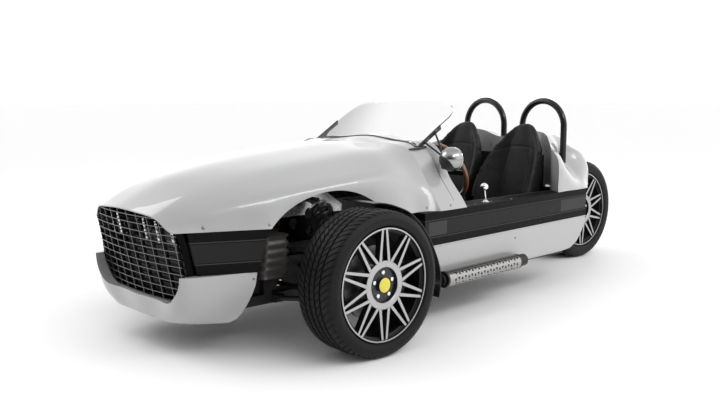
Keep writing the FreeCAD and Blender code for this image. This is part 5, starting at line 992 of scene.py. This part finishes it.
SEAT_Y = 0.230
PAD_VOXEL = 0.007
PAD_PRESSURE, PAD_FRAMES, PAD_REACH = 3.0, 14, 0.006
SEAM_DEPTH, SEAM_WIDTH = 0.0035, 0.007
BACK_THICK, BASE_THICK = 0.046, 0.05
RUNNER_X, RUNNER_Z = (-0.536, -0.236), (0.1825, 0.27)
RUNNER_YS, RUNNER_HALF = (0.11, 0.35), 0.015

# Sections from the bottom of a back up: place along the car, height, half width, and reach of the bolsters.
BACK_SECTIONS = ((-0.592, 0.262, 0.176, 0.120), (-0.598, 0.34, 0.188, 0.150), (-0.606, 0.44, 0.200, 0.165),
                 (-0.620, 0.54, 0.205, 0.160), (-0.638, 0.64, 0.202, 0.132), (-0.654, 0.72, 0.188, 0.096),
                 (-0.668, 0.79, 0.162, 0.062), (-0.680, 0.85, 0.126, 0.034), (-0.690, 0.895, 0.090, 0.016),
                 (-0.696, 0.92, 0.060, 0.008), (-0.699, 0.931, 0.036, 0.004))

# The same from the front of a cushion backwards.
BASE_SECTIONS = ((-0.146, 0.318, 0.168, 0.010), (-0.165, 0.333, 0.180, 0.018), (-0.205, 0.334, 0.186, 0.030),
                 (-0.30, 0.316, 0.190, 0.046), (-0.40, 0.298, 0.192, 0.066), (-0.49, 0.290, 0.192, 0.092),
                 (-0.560, 0.292, 0.190, 0.120), (-0.588, 0.294, 0.186, 0.128))


def seat_ring(spot, out, half, wing, thick, count=12):
    """A closed section: a dished front with raised bolsters and a flatter rear."""
    flat, bulge, bulge_half = 0.42, 0.006, 0.5
    ring = []
    for k in range(count + 1):
        t = -1 + 2 * k / count
        crown = bulge * (1 - (t / bulge_half) ** 2 if abs(t) < bulge_half else 0.0)
        rise = wing * (max(0.0, abs(t) - flat) / (1 - flat)) ** 1.6 + crown
        ring.append(spot + LEFTWARD * (half * t) + out * rise)
    for k in range(count + 1):
        t = 1 - 2 * k / count
        rise = wing * 0.3 * abs(t) ** 3
        ring.append(spot + LEFTWARD * (half * 0.97 * t) + out * (rise - thick * (1 - 0.55 * abs(t) ** 4)))
    return ring


def seat_pad(name, sections, out, thick):
    """A plain pad through its sections, with its front towards out."""
    rings = [seat_ring(Vector((x, SEAT_Y, z)), out, half, wing, thick) for x, z, half, wing in sections]
    return Form().loft(rings).piece(name, ("leather",), "seat_trim", angle=60.0)


def settle(piece):
    """Keeps what a piece's modifiers make of its mesh, and takes them off."""
    mesh = bpy.data.meshes.new_from_object(piece.evaluated_get(bpy.context.evaluated_depsgraph_get()))
    piece.modifiers.clear()
    piece.data = mesh


def swell(piece):
    """Remeshes a pad finely, lets cloth pressure round it, and limits how far each point may go."""
    remesh = piece.modifiers.new("remesh", "REMESH")
    remesh.mode = "VOXEL"
    remesh.voxel_size = PAD_VOXEL
    settle(piece)
    press(piece)
    smooth = piece.modifiers.new("smooth", "SMOOTH")
    smooth.iterations = 4
    smooth.factor = 0.5
    settle(piece)


def press(piece):
    """Blows a pad up as cloth and moves its points by that, within their reach."""
    cloth = piece.modifiers.new("cloth", "CLOTH")
    cloth.settings.use_pressure = True
    cloth.settings.uniform_pressure_force = PAD_PRESSURE
    cloth.settings.effector_weights.gravity = 0.0
    cloth.settings.quality = 5
    cloth.point_cache.frame_start = 1
    cloth.point_cache.frame_end = PAD_FRAMES
    for frame_number in range(1, PAD_FRAMES + 1):
        scene.frame_set(frame_number)
    blown = piece.evaluated_get(bpy.context.evaluated_depsgraph_get()).data
    shifts = [end.co - start.co for start, end in zip(piece.data.vertices, blown.vertices)]
    piece.modifiers.clear()
    scene.frame_set(1)
    for vertex, shift in zip(piece.data.vertices, shifts):
        if shift.length > PAD_REACH:
            shift = shift.normalized() * PAD_REACH
        vertex.co += shift


def sew(piece, seam_at):
    """Presses sewn channels into a pad: seam_at gives each point's distance from the nearest seam."""
    normals = [vertex.normal.copy() for vertex in piece.data.vertices]
    for vertex, normal in zip(piece.data.vertices, normals):
        near = abs(seam_at(vertex.co)) / SEAM_WIDTH
        if near < 1.6:
            vertex.co -= normal * SEAM_DEPTH * math.exp(-near * near * 2.2)


def back_seam(spot):
    """Distance from the seams beside the bolsters and from the one under the headrest."""
    head_z, away = 0.80, 1.0
    share = min(max((spot.z - 0.30) / 0.5, 0.0), 1.0)
    bolster = abs(abs(spot.y - SEAT_Y) - (0.118 - 0.052 * share * share))
    head = abs(spot.z - head_z + 1.4 * (spot.y - SEAT_Y) ** 2)
    front = spot.x > -0.66 - 0.16 * (spot.z - 0.6)
    return min(bolster if spot.z < head_z else away, head) if front else away


def base_seam(spot):
    """Distance from the seams beside the bolsters and from the three across the cushion."""
    bolster_y, underside, away = 0.112, 0.285, 1.0
    bolster = abs(abs(spot.y - SEAT_Y) - bolster_y)
    cross = min(abs(spot.x - x) for x in (-0.23, -0.33, -0.43))
    inside = abs(spot.y - SEAT_Y) < bolster_y
    return min(bolster, cross if inside else away) if spot.z > underside else away


def other_seat(pad, name):
    """The same pad on the right-hand seat."""
    other = bpy.data.objects.new(name, pad.data.copy())
    scene.collection.objects.link(other)
    for vertex in other.data.vertices:
        vertex.co.y = -vertex.co.y
    other.data.flip_normals()
    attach(other, "chassis")
    return other


for part, sections, out, thick, seam in (("back", BACK_SECTIONS, AHEAD, BACK_THICK, back_seam),
                                         ("base", BASE_SECTIONS, UPWARD, BASE_THICK, base_seam)):
    pad = seat_pad("seat_%s_left" % part, sections, out, thick)
    swell(pad)
    sew(pad, seam)
    pad.data.polygons.foreach_set("use_smooth", [True] * len(pad.data.polygons))
    for piece in (pad, other_seat(pad, "seat_%s_right" % part)):
        dress(piece, "leather")
        if part == "back":
            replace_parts(piece, "seats")

runners = Form()
for side in (1, -1):
    for y in RUNNER_YS:
        runners.block((RUNNER_X[0], side * y - RUNNER_HALF, RUNNER_Z[0]),
                      (RUNNER_X[1], side * y + RUNNER_HALF, RUNNER_Z[1]), edge=0.003)
runners.piece("seat_runners", ("black_paint",), "frame_black")


# Stage, light and camera.

FLOOR_HALF = 60.0
CAMERA_SPOT = (3.5552, 3.4376, 1.1421)
CAMERA_YAW, CAMERA_PITCH = math.radians(-132.3), math.radians(-7.98)
LENS, SENSOR = 43.41, 36.0

# Each zone of the surround: its middle, where its dimming starts and ends, and its light outside and inside.
ZONES = (((0.86, 0.42, -0.20), 0.2, 0.85, 1.5, 0.1), ((-0.2, -0.25, 0.95), 0.43, 0.8, 1.0, 0.6))


def area_light(name, spot, target, size, power):
    data = bpy.data.lights.new(name, "AREA")
    data.shape = "RECTANGLE"
    data.size, data.size_y = size
    data.energy = power
    lamp = bpy.data.objects.new(name, data)
    scene.collection.objects.link(lamp)
    lamp.location = spot
    lamp.rotation_mode = "QUATERNION"
    lamp.rotation_quaternion = (Vector(target) - Vector(spot)).to_track_quat("-Z", "Y")


def dome():
    """A white surround, dimmer ahead of the car, and overhead towards the far side."""
    scene.world = bpy.data.worlds.new("studio")
    room = Network(scene.world)
    place = room.add("ShaderNodeTexCoord").outputs["Generated"]
    zones = []
    for way, start, end, bright, dim in ZONES:
        dot = room.add("ShaderNodeVectorMath", {1: Vector(way).normalized()}, operation="DOT_PRODUCT")
        room.link(place, dot.inputs[0])
        zones.append(room.ramp(dot.outputs["Value"], start, end, bright, dim))
    background = room.tree.nodes["Background"]
    background.inputs["Color"].default_value = (1.0, 1.0, 1.0, 1.0)
    room.link(room.math("MULTIPLY", *zones), background.inputs["Strength"])


def studio():
    mesh = bpy.data.meshes.new("floor")
    corners = [(x * FLOOR_HALF, y * FLOOR_HALF, 0) for x, y in ((-1, -1), (1, -1), (1, 1), (-1, 1))]
    mesh.from_pydata(corners, [], [(0, 1, 2, 3)])
    floor = bpy.data.objects.new("floor", mesh)
    scene.collection.objects.link(floor)
    pale = Shader("floor_pale", grey(0.97), 0.6)
    pale.spread(pale.noise(2.0), 0.55, 0.65, "Roughness")
    floor.data.materials.append(pale.material)
    dome()
    area_light("key_softbox", (-0.2, 4.2, 3.7), target=(0.2, 0.3, 0.5), size=(6.0, 1.0), power=95.0)
    area_light("far_softbox", (2.6, -3.4, 4.2), target=(-0.7, 0.2, 0.7), size=(3.6, 3.0), power=65.0)
    scene.view_settings.view_transform = "Standard"


def photo_camera():
    data = bpy.data.cameras.new("photo_camera")
    data.lens = LENS
    data.sensor_width = SENSOR
    data.clip_end = 200.0
    camera = bpy.data.objects.new("photo_camera", data)
    scene.collection.objects.link(camera)
    camera.location = CAMERA_SPOT
    level = math.cos(CAMERA_PITCH)
    ahead = Vector((level * math.cos(CAMERA_YAW), level * math.sin(CAMERA_YAW), math.sin(CAMERA_PITCH)))
    camera.rotation_mode = "QUATERNION"
    camera.rotation_quaternion = ahead.to_track_quat("-Z", "Y")
    scene.camera = camera


studio()
photo_camera()
